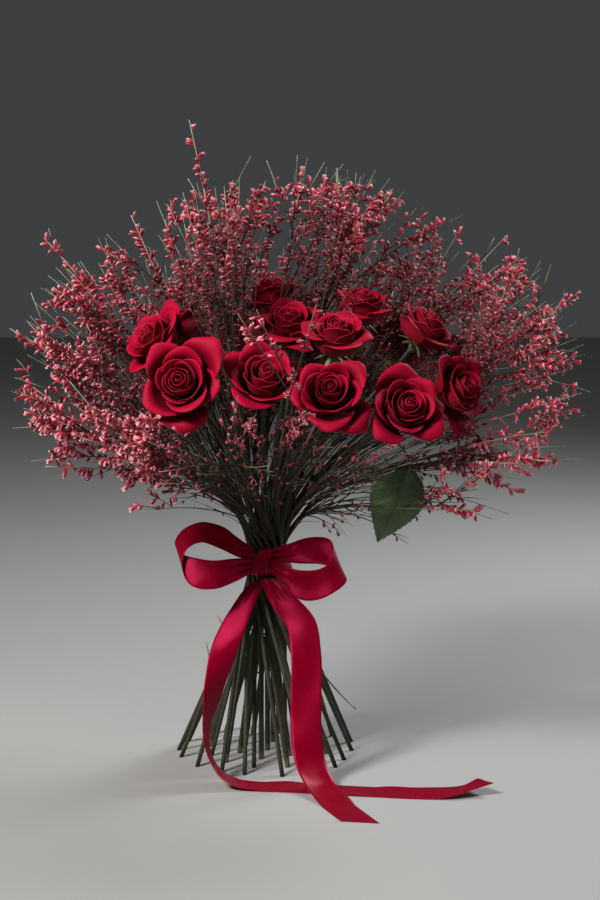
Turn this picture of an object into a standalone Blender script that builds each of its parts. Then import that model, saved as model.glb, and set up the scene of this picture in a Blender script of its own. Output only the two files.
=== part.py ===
"""Hand-tied spiral bouquet of red roses and dyed broom, standing on its cut stems.

Metres, +Z up. The origin is the centre of the cut end of the middle rose stem, on the table.
The front of the bouquet, with the bow, faces -Y.
"""
import math

import bmesh
import bpy
import numpy as np

# Driving dimensions
BINDING_HEIGHT = 0.196        # middle of the tie above the table
FOOT_RADIUS = 0.087           # circle that the outermost cut ends stand on
ROSE_STEM_RADIUS = 0.0028
SPRAY_STEM_RADIUS = 0.0023
STEM_GAP = 0.00042            # between neighbouring stems at the binding
SEAT_GAP = 0.0003             # between pieces that touch
STRAIGHT_ABOVE = 0.018        # a stem runs straight this far above the binding
FOOT_SCATTER = 0.004          # how far an outermost cut end strays from its even place
STEM_CLEARANCE = 0.0019       # kept between two stems above the binding
BLOOM_DIAMETER = 0.066
BLOOM_HIGH = 0.040            # from the base of a bloom to its top
BLOOM_BASE = 0.30             # share of the diameter from the middle of a bloom down to its base
BLOOM_SINK = 0.02             # the same share, down to the middle of the space kept free for a bloom
BLOOM_CLEARANCE = 0.0035      # kept between a bloom and the stems of others
PETAL_THICKNESS = 0.0009
PETAL_ROOT_RADIUS = 0.0035    # petals start this far from the bloom's axis
PETAL_ROOT_HEIGHT = 0.0022
PETAL_LEAN = 0.0016           # one side edge of each petal stands this far out, over its neighbour
HIP_SPACE = 0.011             # room for the hip and sepals under a bloom
HIP_PROFILE = (               # distance below the bloom and radius, from the stem to the bloom
    (0.011, 0.9 * ROSE_STEM_RADIUS),
    (0.005, 0.0042),
    (0.0, 0.0044),
)
SEPAL_ROOT = (0.0040, 0.0012) # sepals start this far below the bloom and this far from the axis
SEPAL_LENGTH = 0.019
SEPAL_HALF_WIDTH = 0.0030
SEPAL_DROOP = 0.75
CUT_SPARE = 0.03              # each lower run is drawn this share too long and cut off level
TWIG_RADIUS = 0.0009
TWIG_ROOT = (0.42, 0.95)      # share of the stem between which side twigs leave it
TWIG_SLANT = (0.45, 1.0)
TWIG_LENGTH = (0.07, 0.13)
TWIG_LIFT = (-0.05, 0.30)
TWIG_ROOM = (0.003, 0.008)    # clear space round a side twig, at its root and at its tip
TWIG_TRIES = 60
FLORET_LENGTH = 0.0120
FLORET_HALF_WIDTH = 0.0037
SPRAY_FULLNESS = 0.0022       # a spray needs this much more room at each bend of its flowering part
LOOP_ROOM = 0.017             # clear space round the loops of the bow
TWINE_RADIUS = 0.0008
TWINE_TURNS = 2.25
TWINE_SIDES = 14              # straight pieces in one turn
WRAP_SIDES = 24
RIBBON_WIDTH = 0.030
RIBBON_THICKNESS = 0.0008
WRAP_HEIGHT = 0.020
KNOT_WIDTH = 0.015
KNOT_DEPTH = 0.013
KNOT_HEIGHT = 0.031
KNOT_SHIFT = (-0.004, 0.004)  # the knot sits a little left of and above the middle of the binding
FLAT_ANGLE = 0.01             # faces of one union that turn less than this, in radians, are merged
SEED = 11

# The stems stand in rings at the binding: one in the middle, then six, twelve and eighteen places.
# One place of the outer ring stays empty.
RING_ONE = 2 * ROSE_STEM_RADIUS + STEM_GAP
RING_TWO = 2 * RING_ONE
RING_THREE = RING_TWO + ROSE_STEM_RADIUS + SEAT_GAP + SPRAY_STEM_RADIUS
RING_RADII = (0.0, RING_ONE, RING_TWO, RING_THREE)
RING_COUNTS = (1, 6, 12, 18)
TWIST = -math.sqrt((FOOT_RADIUS / RING_THREE) ** 2 - 1) / BINDING_HEIGHT

# Each rose: ring at the binding, middle of the bloom, the way it faces, size against BLOOM_DIAMETER
ROSES = (
    (0, (0.023, -0.005, 0.436), (0.00, -0.50, 0.86), 0.86),
    (1, (0.001, 0.060, 0.461), (-0.10, -0.20, 0.97), 0.86),
    (1, (0.067, -0.065, 0.427), (0.05, -0.42, 0.90), 0.96),
    (1, (0.095, 0.020, 0.453), (0.10, -0.25, 0.96), 0.86),
    (1, (0.000, -0.100, 0.385), (0.05, -0.84, 0.54), 1.00),
    (1, (-0.085, 0.040, 0.425), (-0.60, 0.40, 0.69), 0.92),
    (1, (0.045, 0.125, 0.420), (0.10, 0.80, 0.59), 0.96),
    (2, (0.062, -0.132, 0.375), (0.02, -0.92, 0.38), 0.94),
    (2, (-0.078, -0.115, 0.386), (-0.12, -0.92, 0.37), 1.02),
    (2, (-0.108, -0.042, 0.420), (-0.72, -0.40, 0.57), 0.98),
    (2, (0.131, -0.115, 0.361), (0.20, -0.92, 0.34), 1.00),
    (2, (0.186, -0.052, 0.374), (0.72, -0.58, 0.38), 0.94),
    (2, (0.158, 0.005, 0.431), (0.50, -0.20, 0.84), 0.86),
    (2, (0.135, 0.090, 0.405), (0.50, 0.62, 0.60), 0.96),
    (2, (-0.035, 0.120, 0.405), (-0.28, 0.78, 0.56), 0.96),
)
LEAF_ROSE = 10                # the rose whose stem carries the leaf

# Each spray: ring at the binding and the tip of its leading twig
SPRAYS = (
    (2, (-0.074, -0.020, 0.632)),
    (2, (-0.038, 0.060, 0.572)),
    (2, (0.036, 0.010, 0.588)),
    (2, (0.108, 0.035, 0.560)),
    (3, (-0.223, 0.030, 0.518)),
    (3, (-0.248, -0.040, 0.432)),
    (3, (-0.205, -0.105, 0.352)),
    (3, (-0.130, -0.165, 0.335)),
    (3, (-0.040, -0.165, 0.330)),
    (3, (0.030, -0.170, 0.400)),
    (3, (0.100, -0.172, 0.322)),
    (3, (0.200, -0.140, 0.270)),
    (3, (0.268, -0.095, 0.335)),
    (3, (0.283, -0.030, 0.428)),
    (3, (0.312, 0.020, 0.464)),
    (3, (0.245, 0.075, 0.520)),
    (3, (0.200, 0.140, 0.470)),
    (3, (0.100, 0.200, 0.450)),
    (3, (-0.015, 0.212, 0.460)),
    (3, (-0.120, 0.160, 0.440)),
    (3, (-0.140, 0.080, 0.540)),
)
LEAVING_PULL = 0.9            # how long a stem's curve keeps the direction of its straight run
ROSE_PULL = 0.55              # and how early it takes up the direction of its end
SPRAY_PULL = 0.7
TIP_LEVEL = 0.25              # tips at this height point level, higher ones upwards
TIP_RISE = 0.9
STEM_PUSH = 0.5               # shares of a missing gap that each round of pushing makes good
BALL_PUSH = 0.6
HASTE = 1.6
EVENING = 0.10                # share of a kink that each round of pushing smooths out
HEAD_CENTRE = np.array((0.035, -0.005))   # the head leans to the right of the binding
HEAD_LOW = np.array((-0.250, -0.205, 0.225))
HEAD_HIGH = np.array((0.314, 0.235, 0.634))

ROSE_BENDS = 5                # straight pieces of a rose stem above the binding
SPRAY_BENDS = 5
TWIGS_PER_SPRAY = 4
TWIG_POINTS = 3
FLORETS_PER_TWIG = 2


# Plan of the stems

def unit(vector):
    """Vector of length one."""
    vector = np.asarray(vector, float)
    return vector / np.linalg.norm(vector)


def ruled_point(radius, angle, height):
    """Point of a straight line that turns round the binding like the edges of a waisted stool."""
    lean = TWIST * (height - BINDING_HEIGHT)
    return np.array((
        radius * (math.cos(angle) - lean * math.sin(angle)),
        radius * (math.sin(angle) + lean * math.cos(angle)),
        height,
    ))


def slots_in_rings(ends, rings):
    """Give each stem a place in its ring, in the order in which the ends stand round the head."""
    angles = np.zeros(len(ends))
    flat = np.array(ends)[:, :2] - HEAD_CENTRE
    rise = np.array(ends)[:, 2] - BINDING_HEIGHT
    # seen from above, a ruled line has turned this far when it reaches its end
    wanted = np.arctan2(flat[:, 1], flat[:, 0]) - np.arctan(TWIST * rise * 0.8)
    for ring, count in enumerate(RING_COUNTS):
        members = [i for i in range(len(ends)) if rings[i] == ring]
        members.sort(key=lambda i: wanted[i] % (2 * math.pi))
        places = 2 * math.pi * np.arange(count) / count
        best = None
        for shift in range(count):
            turned = np.roll(places, -shift)[: len(members)]
            miss = np.array([wanted[i] for i in members]) - turned
            cost = np.sum(1 - np.cos(miss))
            if best is None or cost < best[0]:
                best = (cost, turned)
        for i, place in zip(members, best[1]):
            angles[i] = place
    return angles


def first_route(ring, angle, end, end_direction, bends, reach):
    """Points of one stem above the binding: a curve that leaves the straight run smoothly."""
    radius = RING_RADII[ring]
    start = ruled_point(radius, angle, BINDING_HEIGHT + STRAIGHT_ABOVE)
    leaving = unit(start - ruled_point(radius, angle, BINDING_HEIGHT))
    span = np.linalg.norm(end - start)
    s = np.linspace(0, 1, bends + 1)[:, None]
    return (
        (2 * s**3 - 3 * s**2 + 1) * start
        + (s**3 - 2 * s**2 + s) * leaving * span * LEAVING_PULL
        + (3 * s**2 - 2 * s**3) * end
        + (s**3 - s**2) * end_direction * span * reach
    )


def dense_weights(count, between):
    """Matrix that turns a route's points into evenly spread points on its straight pieces."""
    places = np.linspace(0, count - 1, (count - 1) * between + 1)
    low = np.minimum(places.astype(int), count - 2)
    share = places - low
    weights = np.zeros((len(places), count))
    weights[np.arange(len(places)), low] = 1 - share
    weights[np.arange(len(places)), low + 1] = share
    return weights


def push_apart(routes, radii, balls, ball_owner, rounds=220, between=5):
    """Move the free points of each route until no two stems, and no stem and bloom, come too near.

    The radii give the room of each point of a route; the balls are blooms, hips and the leaf.
    """
    weights = [dense_weights(len(route), between) for route in routes]
    owner = np.concatenate([np.full(len(w), i) for i, w in enumerate(weights)])
    size = np.concatenate([w @ radii[i] for i, w in enumerate(weights)])
    apart = owner[:, None] != owner[None, :]
    foreign = owner[:, None] != ball_owner[None, :]
    originals = [route.copy() for route in routes]
    for _ in range(rounds):
        points = np.concatenate([w @ route for w, route in zip(weights, routes)])
        gap = points[:, None] - points[None, :]
        distance = np.linalg.norm(gap, axis=2) + 1e-9
        wanted = size[:, None] + size[None, :] + STEM_CLEARANCE
        short = np.where(apart, np.maximum(wanted - distance, 0), 0)
        push = np.sum(gap / distance[:, :, None] * short[:, :, None], axis=1) * STEM_PUSH
        gap = points[:, None] - balls[None, :, :3]
        distance = np.linalg.norm(gap, axis=2) + 1e-9
        short = np.where(foreign, np.maximum(balls[None, :, 3] + size[:, None] - distance, 0), 0)
        push += np.sum(gap / distance[:, :, None] * short[:, :, None], axis=1) * BALL_PUSH
        first = 0
        for i, w in enumerate(weights):
            moved = w.T @ push[first:first + len(w)] / np.maximum(w.sum(axis=0), 1)[:, None] * HASTE
            first += len(w)
            moved[[0, -1]] = 0
            route = routes[i]
            drift = route - originals[i]
            even = drift.copy()
            even[1:-1] = (drift[:-2] + drift[2:]) / 2
            moved[1:-1] += (even[1:-1] - drift[1:-1]) * EVENING
            routes[i] = route + moved
    return routes


class Bouquet:
    """Where every stem and side twig runs, worked out before anything is modelled."""

    def __init__(self):
        rose_ends = []
        for ring, centre, facing, size in ROSES:
            rose_ends.append(np.array(centre) - unit(facing) * BLOOM_BASE * BLOOM_DIAMETER * size)
        spray_ends = [np.array(tip) for ring, tip in SPRAYS]
        ends = rose_ends + spray_ends
        rings = [rose[0] for rose in ROSES] + [spray[0] for spray in SPRAYS]
        self.angles = slots_in_rings(ends, rings)
        routes = []
        for i, end in enumerate(ends):
            if i < len(ROSES):
                facing = unit(ROSES[i][2])
                below_bloom = end - facing * SEAT_GAP
                route = first_route(
                    rings[i], self.angles[i], below_bloom, facing, ROSE_BENDS, ROSE_PULL)
            else:
                outward = np.append(end[:2] - HEAD_CENTRE / 2, TIP_RISE * (end[2] - TIP_LEVEL))
                route = first_route(
                    rings[i], self.angles[i], end, unit(outward), SPRAY_BENDS, SPRAY_PULL)
            routes.append(route)
        radii = [np.full(len(route), ROSE_STEM_RADIUS) for route in routes[: len(ROSES)]]
        flowering = np.maximum(np.arange(SPRAY_BENDS + 1) - 1.5, 0) * SPRAY_FULLNESS
        radii += [SPRAY_STEM_RADIUS + flowering for _ in SPRAYS]
        balls = []
        for ring, centre, facing, size in ROSES:
            radius = 0.5 * BLOOM_DIAMETER * size
            middle = np.array(centre) - unit(facing) * BLOOM_SINK * BLOOM_DIAMETER
            balls.append(np.append(middle, radius + BLOOM_CLEARANCE))
        hips = [np.append(routes[i][-1], HIP_SPACE) for i in range(len(ROSES))]
        self.balls = np.array(balls + hips + [np.array(place) for place in LEAF_SPACE])
        owners = np.concatenate([np.tile(np.arange(len(ROSES)), 2), [LEAF_ROSE] * len(LEAF_SPACE)])
        self.routes = push_apart(routes, radii, self.balls, owners)
        rng = np.random.default_rng(SEED)
        self.feet = []
        for i in range(len(ends)):
            foot = ruled_point(RING_RADII[rings[i]], self.angles[i], 0.0)
            stray = FOOT_SCATTER * rings[i] / 3
            foot[:2] += rng.uniform(-stray, stray, 2)
            self.feet.append(foot)
        self.grow_twigs()

    def taken_space(self):
        """Points with radii that twigs keep clear of, and whose they are."""
        points, sizes, owners = [], [], []
        for i, route in enumerate(self.routes):
            dense = dense_weights(len(route), 6) @ route
            points.append(dense)
            sizes.append(np.full(len(dense), ROSE_STEM_RADIUS))
            owners.append(np.full(len(dense), i))
        points.append(self.balls[:, :3])
        sizes.append(self.balls[:, 3])
        owners.append(np.full(len(self.balls), -1))
        for path in (LOOP_LEFT_PATH, LOOP_RIGHT_PATH):
            middle = np.array([row[:3] for row in path])
            points.append(middle)
            sizes.append(np.full(len(middle), LOOP_ROOM))
            owners.append(np.full(len(middle), -1))
        return np.concatenate(points), np.concatenate(sizes), np.concatenate(owners)

    def grow_twigs(self):
        """Side twigs of each spray, each drawn anew until it is clear of every other piece."""
        points, sizes, owners = self.taken_space()
        self.twigs = [[] for _ in SPRAYS]
        for turn in range(TWIGS_PER_SPRAY):
            for k in range(len(SPRAYS)):
                stem = len(ROSES) + k
                rng = np.random.default_rng(SEED * 1000 + k * 50 + turn)
                foreign = owners != stem
                for _ in range(TWIG_TRIES):
                    twig = draw_twig(self.routes[stem], rng)
                    if np.any(twig[-1] < HEAD_LOW) or np.any(twig[-1] > HEAD_HIGH):
                        continue
                    dense = dense_weights(len(twig), 5) @ twig
                    reach = np.linspace(*TWIG_ROOM, len(dense))
                    distance = np.linalg.norm(dense[:, None] - points[None, foreign], axis=2)
                    if np.all(distance > reach[:, None] + sizes[None, foreign]):
                        self.twigs[k].append(twig)
                        points = np.concatenate([points, dense])
                        sizes = np.concatenate([sizes, reach])
                        owners = np.concatenate([owners, np.full(len(dense), stem)])
                        break


def draw_twig(route, rng):
    """One side twig: it leaves the stem at a slant and bends up towards the light."""
    place = rng.uniform(*TWIG_ROOT) * (len(route) - 1)
    index = int(place)
    root = route[index] + (route[index + 1] - route[index]) * (place - index)
    along = unit(route[index + 1] - route[index])
    side = np.cross(along, rng.normal(size=3))
    direction = unit(along + unit(side) * rng.uniform(*TWIG_SLANT))
    length = rng.uniform(*TWIG_LENGTH) * (1.25 - 0.5 * place / (len(route) - 1))
    lift = np.array((0, 0, rng.uniform(*TWIG_LIFT)))
    s = np.linspace(0, 1, TWIG_POINTS)[:, None]
    return root + length * (direction * s + lift * s**2)


# The bow, as rows of middle point (x, y, z), the way the width runs (x, y, z) and width share
LOOP_LEFT_PATH = (
    (-0.0120, -0.0288, 0.2065, 0.0, 0.30, 0.95, 0.42),
    (-0.0300, -0.0290, 0.2150, 0.0, 0.62, 0.78, 0.70),
    (-0.0480, -0.0290, 0.2250, 0.0, 0.80, 0.60, 0.95),
    (-0.0660, -0.0320, 0.2300, -0.1, 0.85, 0.52, 1.00),
    (-0.0800, -0.0380, 0.2240, -0.2, 0.85, 0.50, 1.00),
    (-0.0860, -0.0450, 0.2110, -0.3, 0.75, 0.60, 1.00),
    (-0.0800, -0.0520, 0.1990, -0.2, 0.55, 0.80, 1.00),
    (-0.0660, -0.0570, 0.1940, 0.0, 0.40, 0.90, 1.00),
    (-0.0500, -0.0570, 0.1930, 0.0, 0.35, 0.92, 0.95),
    (-0.0330, -0.0480, 0.1950, 0.0, 0.30, 0.95, 0.80),
    (-0.0120, -0.0328, 0.1980, 0.0, 0.30, 0.95, 0.42),
)
LOOP_RIGHT_PATH = (
    (0.0040, -0.0288, 0.2065, 0.0, 0.30, 0.95, 0.42),
    (0.0200, -0.0280, 0.2090, 0.0, 0.50, 0.86, 0.70),
    (0.0380, -0.0290, 0.2120, 0.0, 0.60, 0.80, 0.95),
    (0.0560, -0.0320, 0.2120, 0.1, 0.62, 0.78, 1.00),
    (0.0690, -0.0390, 0.2070, 0.3, 0.60, 0.74, 1.00),
    (0.0715, -0.0480, 0.1980, 0.3, 0.55, 0.78, 1.00),
    (0.0630, -0.0560, 0.1890, 0.2, 0.50, 0.84, 1.00),
    (0.0480, -0.0590, 0.1830, 0.0, 0.40, 0.90, 1.00),
    (0.0320, -0.0570, 0.1830, 0.0, 0.35, 0.92, 0.95),
    (0.0180, -0.0470, 0.1900, 0.0, 0.30, 0.95, 0.70),
    (0.0040, -0.0328, 0.1970, 0.0, 0.30, 0.95, 0.42),
)
TAIL_LEFT_PATH = (
    (-0.0088, -0.0262, 0.1810, 0.90, 0.0, 0.43, 0.50),
    (-0.0210, -0.0375, 0.1640, 0.95, 0.0, 0.30, 0.80),
    (-0.0360, -0.0560, 0.1330, 0.97, 0.0, 0.20, 1.00),
    (-0.0460, -0.0720, 0.1020, 0.93, 0.30, 0.15, 1.00),
    (-0.0530, -0.0880, 0.0720, 0.75, 0.65, 0.0, 1.00),
    (-0.0560, -0.1020, 0.0460, 0.45, 0.89, 0.0, 1.00),
    (-0.0520, -0.1110, 0.0250, 0.15, 0.98, 0.0, 1.00),
    (-0.0420, -0.1170, 0.0110, 0.0, 1.0, 0.0, 1.00),
    (-0.0270, -0.1210, 0.0030, 0.0, 1.0, 0.0, 1.00),
    (-0.0080, -0.1230, 0.0004, 0.0, 1.0, 0.0, 1.00),
    (0.0230, -0.1260, 0.0004, 0.05, 1.0, 0.0, 1.00),
    (0.0620, -0.1330, 0.0004, 0.15, 0.99, 0.0, 1.00),
    (0.1050, -0.1400, 0.0004, 0.15, 0.99, 0.0, 1.00),
    (0.1450, -0.1460, 0.0004, 0.0, 1.0, 0.05, 1.00),
    (0.1800, -0.1470, 0.0040, -0.10, 0.95, 0.25, 0.90),
    (0.2080, -0.1400, 0.0120, -0.15, 0.90, 0.40, 0.40),
)
TAIL_RIGHT_PATH = (
    (0.0015, -0.0318, 0.1839, 1.00, 0.0, 0.00, 0.50),
    (0.0150, -0.0450, 0.1660, 0.85, 0.0, 0.53, 0.80),
    (0.0330, -0.0560, 0.1460, 0.93, 0.10, 0.35, 0.95),
    (0.0390, -0.0720, 0.1150, 0.99, 0.10, 0.10, 1.00),
    (0.0390, -0.0880, 0.0800, 1.0, 0.05, 0.0, 1.00),
    (0.0390, -0.1030, 0.0480, 1.0, 0.05, 0.0, 1.00),
    (0.0430, -0.1180, 0.0220, 0.98, 0.18, 0.0, 1.00),
    (0.0510, -0.1370, 0.0085, 0.95, 0.30, 0.0, 1.00),
    (0.0600, -0.1600, 0.0040, 0.93, 0.35, 0.0, 1.00),
    (0.0700, -0.1850, 0.0004, 0.92, 0.38, 0.0, 1.00),
    (0.0870, -0.2270, 0.0004, 0.95, 0.30, 0.0, 1.00),
)

# The leaf: where its stalk leaves the stem, its base, its tip, its width, and the space it fills
LEAF_BASE = np.array((0.138, -0.068, 0.300))
LEAF_TIP = np.array((0.108, -0.078, 0.229))
LEAF_WIDTH = 0.050
LEAF_ROWS = 14                # rows of the blade, every second one ending in a tooth
LEAF_THICKNESS = 0.0010
LEAF_FOLD = 0.006             # the sides of the blade stand this far above its middle rib
LEAF_SAG = 0.007              # and its middle hangs this far below the line from base to tip
STALK_RADIUS = 0.0013
STALK_BEND = np.array((0, 0, 0.006))
LEAF_SPACE = (
    (0.132, -0.070, 0.287, 0.018),
    (0.122, -0.072, 0.268, 0.024),
    (0.114, -0.075, 0.248, 0.020),
)


# Modelling helpers

def clear_scene():
    """Empty the scene of whatever it holds."""
    for thing in list(bpy.data.objects):
        bpy.data.objects.remove(thing)


def new_collection(name):
    """Collection of this name, linked to the scene."""
    collection = bpy.data.collections.new(name)
    bpy.context.scene.collection.children.link(collection)
    return collection


def finish(name, colour, roughness):
    """Plain material of one colour."""
    material = bpy.data.materials.new(name)
    material.use_nodes = True
    shader = material.node_tree.nodes["Principled BSDF"]
    shader.inputs["Base Color"].default_value = (*colour, 1)
    shader.inputs["Roughness"].default_value = roughness
    shader.inputs["Metallic"].default_value = 0.0
    return material


def mesh_object(name, mesh, collection):
    """Object of this mesh in the collection."""
    thing = bpy.data.objects.new(name, mesh)
    collection.objects.link(thing)
    return thing


def tube(name, points, radii, sides, collection):
    """Closed tube of a few flat sides along the points, thick as the radii say."""
    ring = bpy.data.curves.new(name + "_section", "CURVE")
    ring.dimensions = "2D"
    ring.fill_mode = "NONE"
    loop = ring.splines.new("POLY")
    loop.points.add(sides - 1)
    for k in range(sides):
        turn = 2 * math.pi * k / sides
        loop.points[k].co = (math.cos(turn), math.sin(turn), 0, 1)
    loop.use_cyclic_u = True
    section = bpy.data.objects.new(name + "_section", ring)
    collection.objects.link(section)

    path = bpy.data.curves.new(name, "CURVE")
    path.dimensions = "3D"
    path.bevel_mode = "OBJECT"
    path.bevel_object = section
    path.use_fill_caps = True
    line = path.splines.new("POLY")
    line.points.add(len(points) - 1)
    for k, (point, radius) in enumerate(zip(points, radii)):
        line.points[k].co = (*point, 1)
        line.points[k].radius = radius
    curve = bpy.data.objects.new(name, path)
    collection.objects.link(curve)
    bpy.context.view_layer.update()
    graph = bpy.context.evaluated_depsgraph_get()
    mesh = bpy.data.meshes.new_from_object(curve.evaluated_get(graph))
    bpy.data.objects.remove(curve)
    bpy.data.objects.remove(section)
    bm = bmesh.new()
    bm.from_mesh(mesh)
    bmesh.ops.remove_doubles(bm, verts=bm.verts, dist=0.00002)
    bmesh.ops.triangulate(bm, faces=bm.faces)
    bmesh.ops.recalc_face_normals(bm, faces=bm.faces)
    bm.to_mesh(mesh)
    bm.free()
    return mesh_object(name, mesh, collection)


def apply_modifiers(thing):
    """Replace the object's mesh by its evaluated one."""
    bpy.context.view_layer.update()
    graph = bpy.context.evaluated_depsgraph_get()
    mesh = bpy.data.meshes.new_from_object(thing.evaluated_get(graph))
    thing.modifiers.clear()
    thing.data = mesh


def cut_flat(thing, height):
    """Cut the object off level at this height and close the cut."""
    bm = bmesh.new()
    bm.from_mesh(thing.data)
    everything = bm.verts[:] + bm.edges[:] + bm.faces[:]
    cut = bmesh.ops.bisect_plane(
        bm, geom=everything, plane_co=(0, 0, height), plane_no=(0, 0, 1), clear_inner=True)
    edges = [item for item in cut["geom_cut"] if isinstance(item, bmesh.types.BMEdge)]
    bmesh.ops.contextual_create(bm, geom=edges)
    bmesh.ops.triangulate(bm, faces=bm.faces)
    bmesh.ops.recalc_face_normals(bm, faces=bm.faces)
    bm.to_mesh(thing.data)
    bm.free()


def fuse(thing, pieces):
    """Join the pieces to the object in one union, then drop them and any loose scrap."""
    group = bpy.data.collections.new(thing.name + "_pieces")
    bpy.context.scene.collection.children.link(group)
    for piece in pieces:
        for home in list(piece.users_collection):
            home.objects.unlink(piece)
        group.objects.link(piece)
    union = thing.modifiers.new("union", "BOOLEAN")
    union.operation = "UNION"
    union.operand_type = "COLLECTION"
    union.collection = group
    union.solver = "MANIFOLD"
    apply_modifiers(thing)
    for piece in pieces:
        bpy.data.objects.remove(piece)
    bpy.data.collections.remove(group)
    keep_largest_body(thing)


def keep_largest_body(thing):
    """Delete every loose body of the mesh but the one with the most vertices, and merge flat faces."""
    bm = bmesh.new()
    bm.from_mesh(thing.data)
    seen = set()
    bodies = []
    for start in bm.verts:
        if start in seen:
            continue
        body = [start]
        seen.add(start)
        for vert in body:
            for edge in vert.link_edges:
                other = edge.other_vert(vert)
                if other not in seen:
                    seen.add(other)
                    body.append(other)
        bodies.append(body)
    bodies.sort(key=len)
    for body in bodies[:-1]:
        bmesh.ops.delete(bm, geom=body, context="VERTS")
    bmesh.ops.dissolve_limit(bm, angle_limit=FLAT_ANGLE, verts=bm.verts, edges=bm.edges)
    bmesh.ops.triangulate(bm, faces=bm.faces)
    bm.to_mesh(thing.data)
    bm.free()


def turned_frame(direction, spin):
    """Rotation matrix whose third column points along the direction."""
    axis = unit(direction)
    helper = np.array((0, 0, 1.0)) if abs(axis[2]) < 0.9 else np.array((1.0, 0, 0))
    side = unit(np.cross(helper, axis))
    other = np.cross(axis, side)
    first = side * math.cos(spin) + other * math.sin(spin)
    second = np.cross(axis, first)
    return np.stack([first, second, axis], axis=1)


# Blooms

def petal_sheet(columns, rows, width, radius, height, flare, turn, lean):
    """Cupped petal: it leaves the base narrow, swells, and rolls its rim outwards.

    across runs from -1 to 1 over the petal and up from 0 at the root to 1 at the rim.
    """
    bm = bmesh.new()
    bmesh.ops.create_grid(bm, x_segments=columns, y_segments=rows, size=1)
    for vert in bm.verts:
        across = vert.co.x
        up = (vert.co.y + 1) / 2
        spread = width * (0.22 + 0.78 * math.sin(math.pi / 2 * min(up * 1.7, 1.0)))
        spread *= 1 - 0.25 * max(up - 0.72, 0) / 0.28
        angle = turn + across * spread
        swell = math.sin(math.pi / 2 * min(1.0, up * 1.25)) ** 0.8
        cup = PETAL_ROOT_RADIUS + (radius - PETAL_ROOT_RADIUS) * swell
        cup += flare * max(up - 0.55, 0) ** 2 / 0.2 + lean * across * (0.25 + 0.75 * min(up * 2, 1))
        rim_drop = height * (0.10 * across**2 + 0.5 * flare / radius * max(up - 0.8, 0))
        vert.co = (
            cup * math.cos(angle),
            cup * math.sin(angle),
            PETAL_ROOT_HEIGHT + height * up - rim_drop * up,
        )
    bmesh.ops.triangulate(bm, faces=bm.faces)
    return bm


def bloom(name, centre, facing, size, spin, collection):
    """Rose bloom: a bud with two rings of petals round it."""
    half = BLOOM_DIAMETER / 2 * size
    high = BLOOM_HIGH * size
    cut = high * 0.035
    bm = bmesh.new()
    bmesh.ops.create_uvsphere(bm, u_segments=6, v_segments=4, radius=1)
    for vert in bm.verts:
        fat = half * (0.42 if vert.co.z > 0 else 0.36)
        vert.co = (vert.co.x * fat, vert.co.y * fat, high * (0.46 + 0.46 * vert.co.z))
    bmesh.ops.bisect_plane(
        bm, geom=bm.verts[:] + bm.edges[:] + bm.faces[:], plane_co=(0, 0, cut),
        plane_no=(0, 0, 1), clear_inner=True)
    bmesh.ops.holes_fill(bm, edges=[edge for edge in bm.edges if edge.is_boundary])
    bmesh.ops.triangulate(bm, faces=bm.faces)
    bmesh.ops.translate(bm, verts=bm.verts, vec=(0, 0, -cut))
    mesh = bpy.data.meshes.new(name)
    bm.to_mesh(mesh)
    bm.free()
    flower = mesh_object(name, mesh, collection)

    outer_count = 5 if size > 0.9 else 4
    # columns of a petal, petals, radius and height as shares of the bloom's, flare and half width
    rings = (
        (2, 3, 0.62, 0.96, 0.0012, 1.10),
        (3, outer_count, 0.86, 0.84, 0.0052, 3.5 / outer_count),
    )
    pieces = []
    for ring, (columns, count, radius, height, flare, width) in enumerate(rings):
        for k in range(count):
            turn = spin + 2 * math.pi * (k + 0.5 * ring) / count
            bm = petal_sheet(
                columns, 2, width, half * radius, high * height, flare * size, turn, PETAL_LEAN)
            sheet = bpy.data.meshes.new(name)
            bm.to_mesh(sheet)
            bm.free()
            petal = mesh_object(name + "_petal", sheet, collection)
            skin = petal.modifiers.new("thickness", "SOLIDIFY")
            skin.thickness = PETAL_THICKNESS
            skin.offset = 0
            apply_modifiers(petal)
            pieces.append(petal)
    fuse(flower, pieces)
    base = np.array(centre) - unit(facing) * BLOOM_BASE * BLOOM_DIAMETER * size
    place_mesh(flower, turned_frame(facing, 0), base)
    return flower


def place_mesh(thing, rotation, place):
    """Turn and move the mesh itself, so that the object stays at the origin."""
    for vert in thing.data.vertices:
        vert.co = rotation @ np.array(vert.co) + place


def spike(name, root, direction, half_width, length, collection):
    """Slim three-sided point that grows from its root."""
    bm = bmesh.new()
    bmesh.ops.create_cone(bm, cap_ends=True, segments=3, radius1=half_width, radius2=0, depth=length)
    for vert in bm.verts:
        vert.co.z += length / 2
        vert.co.x *= 0.6
    return placed_piece(name, bm, turned_frame(direction, 0.5), root, collection)


def placed_piece(name, bm, rotation, place, collection):
    """Object of this mesh, triangulated, facing outwards and moved to its place."""
    bmesh.ops.triangulate(bm, faces=bm.faces)
    bmesh.ops.recalc_face_normals(bm, faces=bm.faces)
    mesh = bpy.data.meshes.new(name)
    bm.to_mesh(mesh)
    bm.free()
    thing = mesh_object(name, mesh, collection)
    place_mesh(thing, rotation, place)
    return thing


# Stems and leaf

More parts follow.
